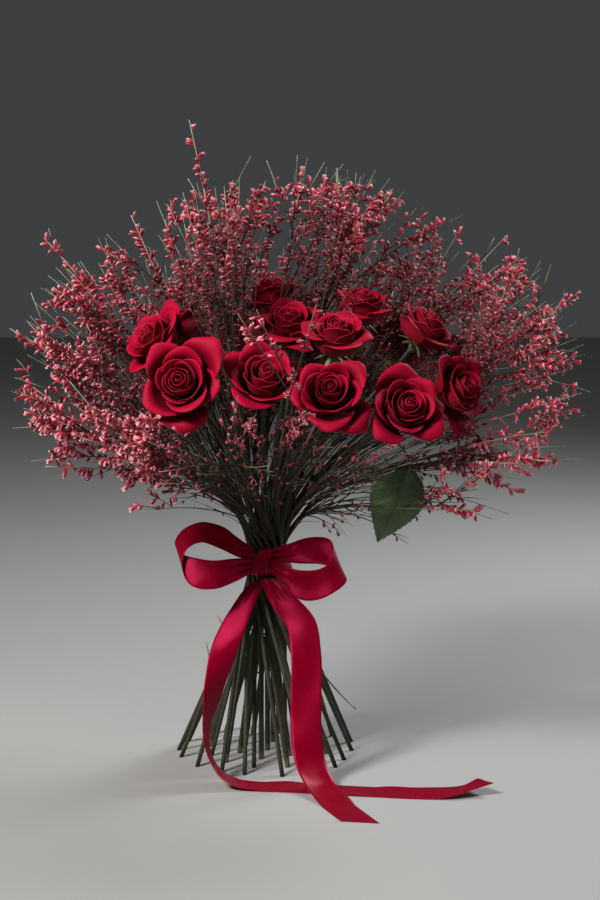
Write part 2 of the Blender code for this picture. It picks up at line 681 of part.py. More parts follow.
def rose_stem(name, plan, i, collection):
    """Stem of one rose, from its cut end to the hip under the bloom, with five sepals."""
    route = plan.routes[i]
    foot = plan.feet[i]
    below = foot + (foot - route[0]) * CUT_SPARE
    facing = unit(ROSES[i][2])
    top = route[-1]
    points = [below] + list(route[:-1]) + [top - facing * down for down, _ in HIP_PROFILE]
    radii = [ROSE_STEM_RADIUS] * len(route) + [radius for _, radius in HIP_PROFILE]
    stem = tube(name, points, radii, 5, collection)
    cut_flat(stem, 0.0)
    pieces = []
    for k in range(5):
        frame = turned_frame(facing, 2 * math.pi * k / 5)
        outward = frame[:, 0]
        root = top - facing * SEPAL_ROOT[0] + outward * SEPAL_ROOT[1]
        hanging = outward - facing * SEPAL_DROOP
        pieces.append(
            spike(name + "_sepal", root, hanging, SEPAL_HALF_WIDTH, SEPAL_LENGTH, collection))
    if i == LEAF_ROSE:
        pieces += leaf_pieces(plan, name, collection)
    fuse(stem, pieces)
    return stem


def leaf_pieces(plan, name, collection):
    """Stalk and toothed blade of the leaf that hangs under the right-hand roses."""
    route = plan.routes[LEAF_ROSE]
    nearest = route[np.argmin(np.linalg.norm(route - LEAF_BASE, axis=1))]
    bend = (nearest + LEAF_BASE) / 2 + STALK_BEND
    inside = LEAF_BASE + (LEAF_TIP - LEAF_BASE) * 0.08
    line = [nearest, bend, LEAF_BASE, inside]
    stalk = tube(name + "_stalk", line, [STALK_RADIUS] * len(line), 4, collection)
    along = LEAF_TIP - LEAF_BASE
    across = unit(np.cross(along, (0, 1, 0)))
    outward = unit(np.cross(across, along))
    bm = bmesh.new()
    bmesh.ops.create_grid(bm, x_segments=2, y_segments=LEAF_ROWS, size=1)
    for vert in bm.verts:
        side = vert.co.x
        up = (vert.co.y + 1) / 2
        half = LEAF_WIDTH / 2 * math.sin(math.pi * (0.04 + 0.96 * up) ** 0.80) ** 0.85 + 0.0010
        tooth = 1.09 if round(up * LEAF_ROWS) % 2 and abs(side) > 0.9 else 1.0
        place = LEAF_BASE + along * up + across * side * half * tooth
        place += outward * (LEAF_FOLD * abs(side) - LEAF_SAG * math.sin(math.pi * up))
        vert.co = place
    bmesh.ops.triangulate(bm, faces=bm.faces)
    mesh = bpy.data.meshes.new(name + "_blade")
    bm.to_mesh(mesh)
    bm.free()
    blade = mesh_object(name + "_blade", mesh, collection)
    skin = blade.modifiers.new("thickness", "SOLIDIFY")
    skin.thickness = LEAF_THICKNESS
    skin.offset = 0
    apply_modifiers(blade)
    return [stalk, blade]


# Broom sprays

def floret(name, root, direction, collection):
    """Small pea-shaped flower: a three-sided trumpet that widens away from the twig."""
    bm = bmesh.new()
    bmesh.ops.create_cone(
        bm, cap_ends=True, segments=3, radius1=FLORET_HALF_WIDTH, radius2=0, depth=FLORET_LENGTH)
    for vert in bm.verts:
        vert.co.z = FLORET_LENGTH / 2 - vert.co.z
        vert.co.x *= 0.75
    return placed_piece(name, bm, turned_frame(direction, 0.6), root, collection)


def spray(name, plan, k, collection):
    """One stem of broom with its side twigs and florets, from cut end to furthest tip."""
    i = len(ROSES) + k
    route = plan.routes[i]
    foot = plan.feet[i]
    below = foot + (foot - route[0]) * CUT_SPARE
    points = [below] + list(route)
    shrink = np.linspace(1, 0.36, len(route))
    radii = [SPRAY_STEM_RADIUS] + list(SPRAY_STEM_RADIUS * shrink)
    stem = tube(name, points, radii, 4, collection)
    cut_flat(stem, 0.0)
    rng = np.random.default_rng(SEED * 500 + k)
    pieces = []
    lines = list(plan.twigs[k]) + [route[-3:]]
    for number, line in enumerate(lines):
        if number < len(plan.twigs[k]):
            thickness = TWIG_RADIUS * np.linspace(1.1, 0.6, len(line))
            pieces.append(tube(name + "_twig", line, thickness, 3, collection))
        for share in np.linspace(0.5, 0.93, FLORETS_PER_TWIG):
            place = share * (len(line) - 1)
            index = int(place)
            along = line[index + 1] - line[index]
            root = line[index] + along * (place - index)
            side = unit(np.cross(along, rng.normal(size=3)))
            direction = unit(unit(along) + side * 0.9)
            pieces.append(floret(name + "_floret", root, direction, collection))
    fuse(stem, pieces)
    return stem


# Tie and ribbon

def twine_middle_radius():
    """Radius of the twine's turns, whose straight pieces clear the stems by a seat gap."""
    middle = RING_THREE + SPRAY_STEM_RADIUS + 1.5 * SEAT_GAP + TWINE_RADIUS
    return middle / math.cos(math.pi / TWINE_SIDES)


def binding_twine(collection):
    """Florist's twine wound round the outer stems."""
    radius = twine_middle_radius()
    pitch = 2 * TWINE_RADIUS + 0.0005
    turns = np.linspace(0, TWINE_TURNS, int(TWINE_TURNS * TWINE_SIDES) + 1)
    points = [
        (
            radius * math.cos(2 * math.pi * turn),
            radius * math.sin(2 * math.pi * turn),
            BINDING_HEIGHT + pitch * (turn - TWINE_TURNS / 2),
        )
        for turn in turns
    ]
    return tube("binding_twine", points, [TWINE_RADIUS] * len(points), 4, collection)


def wrap_inner_radius():
    """Inside of the ribbon round the binding, clear of the corners of the twine."""
    return (twine_middle_radius() + TWINE_RADIUS + SEAT_GAP) / math.cos(math.pi / WRAP_SIDES)


def ribbon_wrap(collection):
    """Ribbon round the binding: an upright band, turned as a profile."""
    inner = wrap_inner_radius()
    bm = bmesh.new()
    low = bm.verts.new((inner, 0, BINDING_HEIGHT - WRAP_HEIGHT / 2))
    high = bm.verts.new((inner, 0, BINDING_HEIGHT + WRAP_HEIGHT / 2))
    bm.edges.new((high, low))
    mesh = bpy.data.meshes.new("ribbon_wrap")
    bm.to_mesh(mesh)
    bm.free()
    band = mesh_object("ribbon_wrap", mesh, collection)
    turn = band.modifiers.new("turn", "SCREW")
    turn.steps = WRAP_SIDES
    turn.render_steps = WRAP_SIDES
    turn.use_merge_vertices = True
    turn.merge_threshold = 0.0001
    skin = band.modifiers.new("thickness", "SOLIDIFY")
    skin.thickness = RIBBON_THICKNESS
    skin.offset = 1
    return band


def ribbon_strip(name, path, collection):
    """Flat ribbon: it follows the middle points, as wide and turned as each row says."""
    rows = np.array(path, float)
    bm = bmesh.new()
    bmesh.ops.create_grid(bm, x_segments=2, y_segments=len(rows) - 1, size=1)
    for vert in bm.verts:
        row = rows[round((vert.co.y + 1) / 2 * (len(rows) - 1))]
        vert.co = row[:3] + unit(row[3:6]) * vert.co.x * RIBBON_WIDTH / 2 * row[6]
        vert.co.z = max(vert.co.z, RIBBON_THICKNESS / 2)
    bmesh.ops.triangulate(bm, faces=bm.faces)
    mesh = bpy.data.meshes.new(name)
    bm.to_mesh(mesh)
    bm.free()
    strip = mesh_object(name, mesh, collection)
    skin = strip.modifiers.new("thickness", "SOLIDIFY")
    skin.thickness = RIBBON_THICKNESS
    skin.offset = 0
    return strip


def ribbon_knot(collection):
    """Knot of the bow: a soft upright pad in front of the wrap."""
    bm = bmesh.new()
    bmesh.ops.create_cube(bm, size=1)
    front = wrap_inner_radius() + RIBBON_THICKNESS + SEAT_GAP
    for vert in bm.verts:
        vert.co = (
            KNOT_SHIFT[0] + vert.co.x * KNOT_WIDTH,
            -front - KNOT_DEPTH / 2 + vert.co.y * KNOT_DEPTH,
            BINDING_HEIGHT + KNOT_SHIFT[1] + vert.co.z * KNOT_HEIGHT,
        )
    mesh = bpy.data.meshes.new("ribbon_knot")
    bm.to_mesh(mesh)
    bm.free()
    knot = mesh_object("ribbon_knot", mesh, collection)
    edge = knot.modifiers.new("soft", "BEVEL")
    edge.width = 0.004
    edge.segments = 2
    return knot


def main():
    clear_scene()
    bouquet = new_collection("bouquet")
    petal_red = finish("rose_petal", (0.35, 0.002, 0.012), 0.6)
    stem_green = finish("rose_stem", (0.045, 0.075, 0.025), 0.6)
    broom = finish("broom", (0.55, 0.08, 0.12), 0.7)
    satin = finish("satin", (0.45, 0.0, 0.03), 0.35)
    jute = finish("twine", (0.45, 0.36, 0.22), 0.9)

    plan = Bouquet()
    for i, (ring, centre, facing, size) in enumerate(ROSES):
        flower = bloom(f"bloom_{i + 1:02d}", centre, facing, size, 0.7 * i, bouquet)
        flower.data.materials.append(petal_red)
        stem = rose_stem(f"rose_stem_{i + 1:02d}", plan, i, bouquet)
        stem.data.materials.append(stem_green)
    for k in range(len(SPRAYS)):
        bunch = spray(f"spray_{k + 1:02d}", plan, k, bouquet)
        bunch.data.materials.append(broom)
    twine = binding_twine(bouquet)
    twine.data.materials.append(jute)
    ribbons = (
        ribbon_wrap(bouquet),
        ribbon_knot(bouquet),
        ribbon_strip("loop_left", LOOP_LEFT_PATH, bouquet),
        ribbon_strip("loop_right", LOOP_RIGHT_PATH, bouquet),
        ribbon_strip("tail_left", TAIL_LEFT_PATH, bouquet),
        ribbon_strip("tail_right", TAIL_RIGHT_PATH, bouquet),
    )
    for piece in ribbons:
        piece.data.materials.append(satin)


main()
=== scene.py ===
"""Dress of the hand-tied bouquet: roses, broom, leaf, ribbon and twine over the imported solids.

Metres, +Z up, the front with the bow faces -Y. Every piece follows the same plan of stems, twigs
and ribbon paths as the solids do.
"""

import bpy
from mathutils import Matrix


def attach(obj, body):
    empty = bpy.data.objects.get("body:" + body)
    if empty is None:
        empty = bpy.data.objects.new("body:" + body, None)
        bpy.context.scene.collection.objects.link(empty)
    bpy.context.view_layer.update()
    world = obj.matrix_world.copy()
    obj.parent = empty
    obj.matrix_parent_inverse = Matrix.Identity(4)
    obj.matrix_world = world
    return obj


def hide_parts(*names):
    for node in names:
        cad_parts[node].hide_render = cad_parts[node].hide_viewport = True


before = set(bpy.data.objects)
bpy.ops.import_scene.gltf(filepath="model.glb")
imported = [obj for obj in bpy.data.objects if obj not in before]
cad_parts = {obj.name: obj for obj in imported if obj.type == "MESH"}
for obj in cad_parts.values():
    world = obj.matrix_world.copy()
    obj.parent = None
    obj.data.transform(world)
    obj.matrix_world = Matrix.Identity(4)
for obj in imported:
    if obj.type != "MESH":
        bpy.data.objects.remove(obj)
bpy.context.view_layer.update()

import math

import bpy
import numpy as np
from mathutils import Euler, Vector

# Plan of the bouquet, as the solids have it
BINDING_HEIGHT = 0.196        # middle of the tie above the table
FOOT_RADIUS = 0.087           # circle that the outermost cut ends stand on
ROSE_STEM_RADIUS = 0.0028
SPRAY_STEM_RADIUS = 0.0023
STEM_GAP = 0.00042
STEM_ROOM = 0.0019            # room between two stems above the binding
STEM_PUSH = 0.5               # share of a lack of room that one round makes good
BLOOM_PUSH = 0.6
STRIDE = 1.6                  # a round's move against the pushes on a point
EVENING = 0.10                # share of a kink that a round takes out again
TWIG_TRIES = 60
SEAT_GAP = 0.0003
STRAIGHT_ABOVE = 0.018        # a stem runs straight this far above the binding
FOOT_SCATTER = 0.004
BLOOM_DIAMETER = 0.066
BLOOM_DEPTH = 0.30            # from its middle down to its foot, as a share of its diameter
HIP_SPACE = 0.011
TWINE_RADIUS = 0.0008
TWINE_TURNS = 2.25
TWINE_SIDES = 14
WRAP_SIDES = 24
RIBBON_WIDTH = 0.030
RIBBON_THICKNESS = 0.0008
WRAP_HEIGHT = 0.020
UP = np.array((0.0, 0.0, 1.0))
SEED = 11
RING_ONE = 2 * ROSE_STEM_RADIUS + STEM_GAP
RING_TWO = 2 * RING_ONE
RING_THREE = RING_TWO + ROSE_STEM_RADIUS + SEAT_GAP + SPRAY_STEM_RADIUS
RING_RADII = (0.0, RING_ONE, RING_TWO, RING_THREE)
RING_COUNTS = (1, 6, 12, 18)
TWIST = -math.sqrt((FOOT_RADIUS / RING_THREE) ** 2 - 1) / BINDING_HEIGHT

# Each rose: ring at the binding, middle of the bloom, the way it faces, size
ROSES = (
    (0, (0.023, -0.005, 0.436), (0.00, -0.50, 0.86), 0.86),
    (1, (0.001, 0.060, 0.461), (-0.10, -0.20, 0.97), 0.86),
    (1, (0.067, -0.065, 0.427), (0.05, -0.42, 0.90), 0.96),
    (1, (0.095, 0.020, 0.453), (0.10, -0.25, 0.96), 0.86),
    (1, (0.000, -0.100, 0.385), (0.05, -0.84, 0.54), 1.00),
    (1, (-0.085, 0.040, 0.425), (-0.60, 0.40, 0.69), 0.92),
    (1, (0.045, 0.125, 0.420), (0.10, 0.80, 0.59), 0.96),
    (2, (0.062, -0.132, 0.375), (0.02, -0.92, 0.38), 0.94),
    (2, (-0.078, -0.115, 0.386), (-0.12, -0.92, 0.37), 1.02),
    (2, (-0.108, -0.042, 0.420), (-0.72, -0.40, 0.57), 0.98),
    (2, (0.131, -0.115, 0.361), (0.20, -0.92, 0.34), 1.00),
    (2, (0.186, -0.052, 0.374), (0.72, -0.58, 0.38), 0.94),
    (2, (0.158, 0.005, 0.431), (0.50, -0.20, 0.84), 0.86),
    (2, (0.135, 0.090, 0.405), (0.50, 0.62, 0.60), 0.96),
    (2, (-0.035, 0.120, 0.405), (-0.28, 0.78, 0.56), 0.96),
)
LEAF_ROSE = 10
SPRAYS = (
    (2, (-0.074, -0.020, 0.632)),
    (2, (-0.038, 0.060, 0.572)),
    (2, (0.036, 0.010, 0.588)),
    (2, (0.108, 0.035, 0.560)),
    (3, (-0.223, 0.030, 0.518)),
    (3, (-0.248, -0.040, 0.432)),
    (3, (-0.205, -0.105, 0.352)),
    (3, (-0.130, -0.165, 0.335)),
    (3, (-0.040, -0.165, 0.330)),
    (3, (0.030, -0.170, 0.400)),
    (3, (0.100, -0.172, 0.322)),
    (3, (0.200, -0.140, 0.270)),
    (3, (0.268, -0.095, 0.335)),
    (3, (0.283, -0.030, 0.428)),
    (3, (0.312, 0.020, 0.464)),
    (3, (0.245, 0.075, 0.520)),
    (3, (0.200, 0.140, 0.470)),
    (3, (0.100, 0.200, 0.450)),
    (3, (-0.015, 0.212, 0.460)),
    (3, (-0.120, 0.160, 0.440)),
    (3, (-0.140, 0.080, 0.540)),
)
HEAD_CENTRE = np.array((0.035, -0.005))
HEAD_LOW = np.array((-0.250, -0.205, 0.225))
HEAD_HIGH = np.array((0.314, 0.235, 0.634))
BENDS = 5                     # free pieces of each stem above the binding
LEAVING_REACH = 0.9           # how far a stem keeps its first direction, as a share of its span
ROSE_REACH = 0.55             # and how far it already has its last one
SPRAY_REACH = 0.7
FLOWERING_GROWTH = 0.0022     # by which each bend of a spray keeps more room than the one below
BLOOM_ROOM = 0.0035
BOW_ROOM = 0.017
TWIGS_PER_SPRAY = 4
TWIG_POINTS = 3

# The bow, as rows of middle point (x, y, z), the way the width runs (x, y, z) and width share
LOOP_LEFT_PATH = (
    (-0.0120, -0.0288, 0.2065, 0.0, 0.30, 0.95, 0.42),
    (-0.0300, -0.0290, 0.2150, 0.0, 0.62, 0.78, 0.70),
    (-0.0480, -0.0290, 0.2250, 0.0, 0.80, 0.60, 0.95),
    (-0.0660, -0.0320, 0.2300, -0.1, 0.85, 0.52, 1.00),
    (-0.0800, -0.0380, 0.2240, -0.2, 0.85, 0.50, 1.00),
    (-0.0860, -0.0450, 0.2110, -0.3, 0.75, 0.60, 1.00),
    (-0.0800, -0.0520, 0.1990, -0.2, 0.55, 0.80, 1.00),
    (-0.0660, -0.0570, 0.1940, 0.0, 0.40, 0.90, 1.00),
    (-0.0500, -0.0570, 0.1930, 0.0, 0.35, 0.92, 0.95),
    (-0.0330, -0.0480, 0.1950, 0.0, 0.30, 0.95, 0.80),
    (-0.0120, -0.0328, 0.1980, 0.0, 0.30, 0.95, 0.42),
)
LOOP_RIGHT_PATH = (
    (0.0040, -0.0288, 0.2065, 0.0, 0.30, 0.95, 0.42),
    (0.0200, -0.0280, 0.2090, 0.0, 0.50, 0.86, 0.70),
    (0.0380, -0.0290, 0.2120, 0.0, 0.60, 0.80, 0.95),
    (0.0560, -0.0320, 0.2120, 0.1, 0.62, 0.78, 1.00),
    (0.0690, -0.0390, 0.2070, -0.25, 0.55, 0.80, 1.00),
    (0.0715, -0.0480, 0.1980, -0.45, 0.35, 0.82, 1.00),
    (0.0630, -0.0560, 0.1890, -0.15, 0.45, 0.87, 1.00),
    (0.0480, -0.0590, 0.1830, 0.0, 0.40, 0.90, 1.00),
    (0.0320, -0.0570, 0.1830, 0.0, 0.35, 0.92, 0.95),
    (0.0180, -0.0470, 0.1900, 0.0, 0.30, 0.95, 0.70),
    (0.0040, -0.0328, 0.1970, 0.0, 0.30, 0.95, 0.42),
)
TAIL_LEFT_PATH = (
    (-0.0088, -0.0262, 0.1810, 0.90, 0.0, 0.43, 0.50),
    (-0.0210, -0.0375, 0.1640, 0.95, 0.0, 0.30, 0.80),
    (-0.0360, -0.0560, 0.1330, 0.97, 0.0, 0.20, 1.00),
    (-0.0460, -0.0720, 0.1020, 0.85, 0.50, 0.15, 1.00),
    (-0.0530, -0.0880, 0.0720, 0.50, 0.86, 0.0, 1.00),
    (-0.0560, -0.1020, 0.0460, 0.12, 0.99, 0.0, 1.00),
    (-0.0520, -0.1110, 0.0250, -0.05, 1.00, 0.05, 1.00),
    (-0.0420, -0.1170, 0.0110, 0.0, 1.0, 0.0, 1.00),
    (-0.0270, -0.1210, 0.0030, 0.0, 1.0, 0.0, 1.00),
    (-0.0080, -0.1230, 0.0004, 0.0, 1.0, 0.0, 1.00),
    (0.0230, -0.1260, 0.0004, 0.05, 1.0, 0.0, 1.00),
    (0.0620, -0.1330, 0.0004, 0.15, 0.99, 0.0, 1.00),
    (0.1050, -0.1400, 0.0004, 0.15, 0.99, 0.0, 1.00),
    (0.1450, -0.1460, 0.0004, 0.0, 1.0, 0.05, 1.00),
    (0.1800, -0.1470, 0.0040, -0.05, 0.99, 0.05, 0.90),
    (0.2080, -0.1400, 0.0120, -0.10, 0.99, 0.08, 0.40),
)
TAIL_RIGHT_PATH = (
    (0.0015, -0.0318, 0.1839, 1.00, 0.0, 0.00, 0.50),
    (0.0150, -0.0450, 0.1660, 0.85, 0.0, 0.53, 0.80),
    (0.0330, -0.0560, 0.1460, 0.93, 0.10, 0.35, 0.95),
    (0.0390, -0.0720, 0.1150, 0.99, 0.10, 0.10, 1.00),
    (0.0390, -0.0880, 0.0800, 1.0, 0.05, 0.0, 1.00),
    (0.0390, -0.1030, 0.0480, 1.0, 0.05, 0.0, 1.00),
    (0.0430, -0.1180, 0.0220, 0.98, 0.18, 0.0, 1.00),
    (0.0510, -0.1370, 0.0085, 0.95, 0.30, 0.0, 1.00),
    (0.0600, -0.1600, 0.0040, 0.93, 0.35, 0.0, 1.00),
    (0.0700, -0.1850, 0.0004, 0.92, 0.38, 0.0, 1.00),
    (0.0870, -0.2270, 0.0004, 0.95, 0.30, 0.0, 1.00),
)
LEAF_BASE = np.array((0.138, -0.068, 0.300))
LEAF_TIP = np.array((0.108, -0.078, 0.229))
LEAF_WIDTH = 0.050
LEAF_SPACE = (
    (0.132, -0.070, 0.287, 0.018),
    (0.122, -0.072, 0.268, 0.024),
    (0.114, -0.075, 0.248, 0.020),
)


# Plan of the stems

def unit(vector):
    """Vector of length one."""
    vector = np.asarray(vector, float)
    return vector / np.linalg.norm(vector)


def bloom_foot(centre, facing, size):
    """Place where a bloom sits on its hip."""
    return np.array(centre) - unit(facing) * BLOOM_DEPTH * BLOOM_DIAMETER * size


def hermite(t, first, leaving, last, arriving):
    """Smooth step from first to last, with these slopes at its ends."""
    return (
        (2 * t**3 - 3 * t**2 + 1) * first
        + (t**3 - 2 * t**2 + t) * leaving
        + (3 * t**2 - 2 * t**3) * last
        + (t**3 - t**2) * arriving
    )


def ruled_point(radius, angle, height):
    """Point of a straight line that turns round the binding like the edges of a waisted stool."""
    lean = TWIST * (height - BINDING_HEIGHT)
    return np.array((
        radius * (math.cos(angle) - lean * math.sin(angle)),
        radius * (math.sin(angle) + lean * math.cos(angle)),
        height,
    ))


def slots_in_rings(ends, rings):
    """Give each stem a place in its ring, in the order in which the ends stand round the head."""
    angles = np.zeros(len(ends))
    flat = np.array(ends)[:, :2] - HEAD_CENTRE
    rise = np.array(ends)[:, 2] - BINDING_HEIGHT
    # seen from above, a ruled line has turned this far when it reaches its end
    wanted = np.arctan2(flat[:, 1], flat[:, 0]) - np.arctan(TWIST * rise * 0.8)
    for ring, count in enumerate(RING_COUNTS):
        members = [i for i in range(len(ends)) if rings[i] == ring]
        members.sort(key=lambda i: wanted[i] % (2 * math.pi))
        places = 2 * math.pi * np.arange(count) / count
        best = None
        for shift in range(count):
            turned = np.roll(places, -shift)[: len(members)]
            miss = np.array([wanted[i] for i in members]) - turned
            cost = np.sum(1 - np.cos(miss))
            if best is None or cost < best[0]:
                best = (cost, turned)
        for i, place in zip(members, best[1]):
            angles[i] = place
    return angles


def first_route(ring, angle, end, end_direction, reach):
    """Points of one stem from the end of its straight run, along a curve that leaves it smoothly."""
    radius = RING_RADII[ring]
    start = ruled_point(radius, angle, BINDING_HEIGHT + STRAIGHT_ABOVE)
    leaving = unit(start - ruled_point(radius, angle, BINDING_HEIGHT))
    span = np.linalg.norm(end - start)
    s = np.linspace(0, 1, BENDS + 1)[:, None]
    return hermite(s, start, leaving * span * LEAVING_REACH, end, end_direction * span * reach)


def dense_weights(count, between):
    """Matrix that turns a route's points into evenly spread points on its straight pieces."""
    places = np.linspace(0, count - 1, (count - 1) * between + 1)
    low = np.minimum(places.astype(int), count - 2)
    share = places - low
    weights = np.zeros((len(places), count))
    weights[np.arange(len(places)), low] = 1 - share
    weights[np.arange(len(places)), low + 1] = share
    return weights


def push_apart(routes, radii, balls, ball_owner, rounds=220, between=5):
    """Move the free points of each route until no two stems, and no stem and bloom, come too near."""
    weights = [dense_weights(len(route), between) for route in routes]
    owner = np.concatenate([np.full(len(w), i) for i, w in enumerate(weights)])
    size = np.concatenate([w @ radii[i] for i, w in enumerate(weights)])
    apart = owner[:, None] != owner[None, :]
    foreign = owner[:, None] != ball_owner[None, :]
    originals = [route.copy() for route in routes]
    for _ in range(rounds):
        points = np.concatenate([w @ route for w, route in zip(weights, routes)])
        gap = points[:, None] - points[None, :]
        distance = np.linalg.norm(gap, axis=2) + 1e-9
        wanted = size[:, None] + size[None, :] + STEM_ROOM
        short = np.where(apart, np.maximum(wanted - distance, 0), 0)
        push = np.sum(gap / distance[:, :, None] * short[:, :, None], axis=1) * STEM_PUSH
        gap = points[:, None] - balls[None, :, :3]
        distance = np.linalg.norm(gap, axis=2) + 1e-9
        short = np.where(foreign, np.maximum(balls[None, :, 3] + size[:, None] - distance, 0), 0)
        push += np.sum(gap / distance[:, :, None] * short[:, :, None], axis=1) * BLOOM_PUSH
        first = 0
        for i, w in enumerate(weights):
            moved = w.T @ push[first:first + len(w)] / np.maximum(w.sum(axis=0), 1)[:, None] * STRIDE
            first += len(w)
            moved[[0, -1]] = 0
            route = routes[i]
            drift = route - originals[i]
            even = drift.copy()
            even[1:-1] = (drift[:-2] + drift[2:]) / 2
            moved[1:-1] += (even[1:-1] - drift[1:-1]) * EVENING
            routes[i] = route + moved
    return routes


class Bouquet:
    """Where every stem and side twig runs and the space that roses take, before anything is made."""

    def __init__(self):
        ends = [bloom_foot(centre, facing, size) for ring, centre, facing, size in ROSES]
        ends += [np.array(tip) for ring, tip in SPRAYS]
        rings = [rose[0] for rose in ROSES] + [spray[0] for spray in SPRAYS]
        angles = slots_in_rings(ends, rings)
        routes = []
        for i, end in enumerate(ends):
            if i < len(ROSES):
                arriving = unit(ROSES[i][2])
                route = first_route(rings[i], angles[i], end - arriving * SEAT_GAP, arriving, ROSE_REACH)
            else:
                arriving = unit(np.append(end[:2] - HEAD_CENTRE * 0.5, 0.9 * (end[2] - 0.25)))
                route = first_route(rings[i], angles[i], end, arriving, SPRAY_REACH)
            routes.append(route)
        radii = [np.full(len(route), ROSE_STEM_RADIUS) for route in routes[: len(ROSES)]]
        flowering = np.maximum(np.arange(BENDS + 1) - 1.5, 0) * FLOWERING_GROWTH
        radii += [SPRAY_STEM_RADIUS + flowering for _ in SPRAYS]
        balls = []
        for ring, centre, facing, size in ROSES:
            radius = 0.5 * BLOOM_DIAMETER * size
            middle = np.array(centre) - unit(facing) * 0.02 * BLOOM_DIAMETER
            balls.append(np.append(middle, radius + BLOOM_ROOM))
        hips = [np.append(routes[i][-1], HIP_SPACE) for i in range(len(ROSES))]
        self.balls = np.array(balls + hips + [np.array(place) for place in LEAF_SPACE])
        owners = np.concatenate([np.tile(np.arange(len(ROSES)), 2), [LEAF_ROSE] * len(LEAF_SPACE)])
        self.routes = push_apart(routes, radii, self.balls, owners)
        rng = np.random.default_rng(SEED)
        self.feet = []
        for i in range(len(ends)):
            foot = ruled_point(RING_RADII[rings[i]], angles[i], 0.0)
            stray = FOOT_SCATTER * rings[i] / 3
            foot[:2] += rng.uniform(-stray, stray, 2)
            self.feet.append(foot)
        self.grow_twigs()

    def taken_space(self):
        """Points with radii that twigs keep clear of, and whose they are."""
        points, sizes, owners = [], [], []
        for i, route in enumerate(self.routes):
            dense = dense_weights(len(route), 6) @ route
            points.append(dense)
            sizes.append(np.full(len(dense), ROSE_STEM_RADIUS))
            owners.append(np.full(len(dense), i))
        points.append(self.balls[:, :3])
        sizes.append(self.balls[:, 3])
        owners.append(np.full(len(self.balls), -1))
        for path in (LOOP_LEFT_PATH, LOOP_RIGHT_PATH):
            middle = np.array([row[:3] for row in path])
            points.append(middle)
            sizes.append(np.full(len(middle), BOW_ROOM))
            owners.append(np.full(len(middle), -1))
        return np.concatenate(points), np.concatenate(sizes), np.concatenate(owners)

    def grow_twigs(self):
        """Side twigs of each spray, each drawn anew until it is clear of every other piece."""
        points, sizes, owners = self.taken_space()
        self.twigs = [[] for _ in SPRAYS]
        for turn in range(TWIGS_PER_SPRAY):
            for k in range(len(SPRAYS)):
                stem = len(ROSES) + k
                rng = np.random.default_rng(SEED * 1000 + k * 50 + turn)
                foreign = owners != stem
                for _ in range(TWIG_TRIES):
                    twig = draw_twig(self.routes[stem], rng)
                    if np.any(twig[-1] < HEAD_LOW) or np.any(twig[-1] > HEAD_HIGH):
                        continue
                    dense = dense_weights(len(twig), 5) @ twig
                    reach = np.linspace(0.003, 0.008, len(dense))
                    distance = np.linalg.norm(dense[:, None] - points[None, foreign], axis=2)
                    if np.all(distance > reach[:, None] + sizes[None, foreign]):
                        self.twigs[k].append(twig)
                        points = np.concatenate([points, dense])
                        sizes = np.concatenate([sizes, reach])
                        owners = np.concatenate([owners, np.full(len(dense), stem)])
                        break


def draw_twig(route, rng):
    """One side twig: it leaves the stem at a slant and bends up towards the light."""
    place = rng.uniform(0.42, 0.95) * (len(route) - 1)
    index = int(place)
    root = route[index] + (route[index + 1] - route[index]) * (place - index)
    along = unit(route[index + 1] - route[index])
    side = np.cross(along, rng.normal(size=3))
    direction = unit(along + unit(side) * rng.uniform(0.45, 1.0))
    length = rng.uniform(0.07, 0.13) * (1.25 - 0.5 * place / (len(route) - 1))
    lift = np.array((0, 0, rng.uniform(-0.05, 0.30)))
    s = np.linspace(0, 1, TWIG_POINTS)[:, None]
    return root + length * (direction * s + lift * s**2)


# Surfaces worked out as whole arrays

def smooth(values, low, high):
    """Soft step from 0 at low to 1 at high: three t squared less two t cubed."""
    t = np.clip((values - low) / (high - low), 0, 1)
    return t * t * (3 - 2 * t)


def units(vectors):
    """Each vector divided by its length."""
    return vectors / np.maximum(np.linalg.norm(vectors, axis=-1, keepdims=True), 1e-12)


def curve_through(rows, count):
    """Smooth curve through the rows: Hermite pieces whose slopes are the rows' own differences."""
    rows = np.asarray(rows, float)
    steps = np.linalg.norm(np.diff(rows[:, :3], axis=0), axis=1)
    place = np.concatenate([[0], np.cumsum(steps)])
    slope = np.gradient(rows, place, axis=0)
    where = np.linspace(0, place[-1], count)
    low = np.clip(np.searchsorted(place, where, side="right") - 1, 0, len(rows) - 2)
    span = (place[low + 1] - place[low])[:, None]
    t = ((where - place[low])[:, None]) / span
    return hermite(t, rows[low], span * slope[low], rows[low + 1], span * slope[low + 1])


def at_places(paths, owner, place):
    """Points of the owners' paths at these places, counted in path points, and the steps there."""
    index = np.minimum(place.astype(int), paths.shape[1] - 2)
    first = paths[owner, index]
    step = paths[owner, index + 1] - first
    return first + step * (place - index)[..., None], step


def stem_line(i, steps):
    """Smooth line of a stem from its cut end, straight through the binding, to its top."""
    route, foot = PLAN.routes[i], PLAN.feet[i]
    straight = [foot + (route[0] - foot) * share for share in (0, 0.4, 0.8)]
    return curve_through(np.vstack([*straight, route]), steps)


def grid_faces(rows, columns, closed=False):
    """Corners of a grid's faces, and the share across and along at each corner."""
    wide = columns if closed else columns - 1
    r, c = np.divmod(np.arange((rows - 1) * wide), wide)
    n = (c + 1) % columns
    faces = np.stack([r * columns + c, r * columns + n, (r + 1) * columns + n, (r + 1) * columns + c], axis=1)
    across = np.stack([c, c + 1, c + 1, c], axis=1) / wide
    along = np.stack([r, r, r + 1, r + 1], axis=1) / (rows - 1)
    return faces, np.stack([across, along], axis=2)


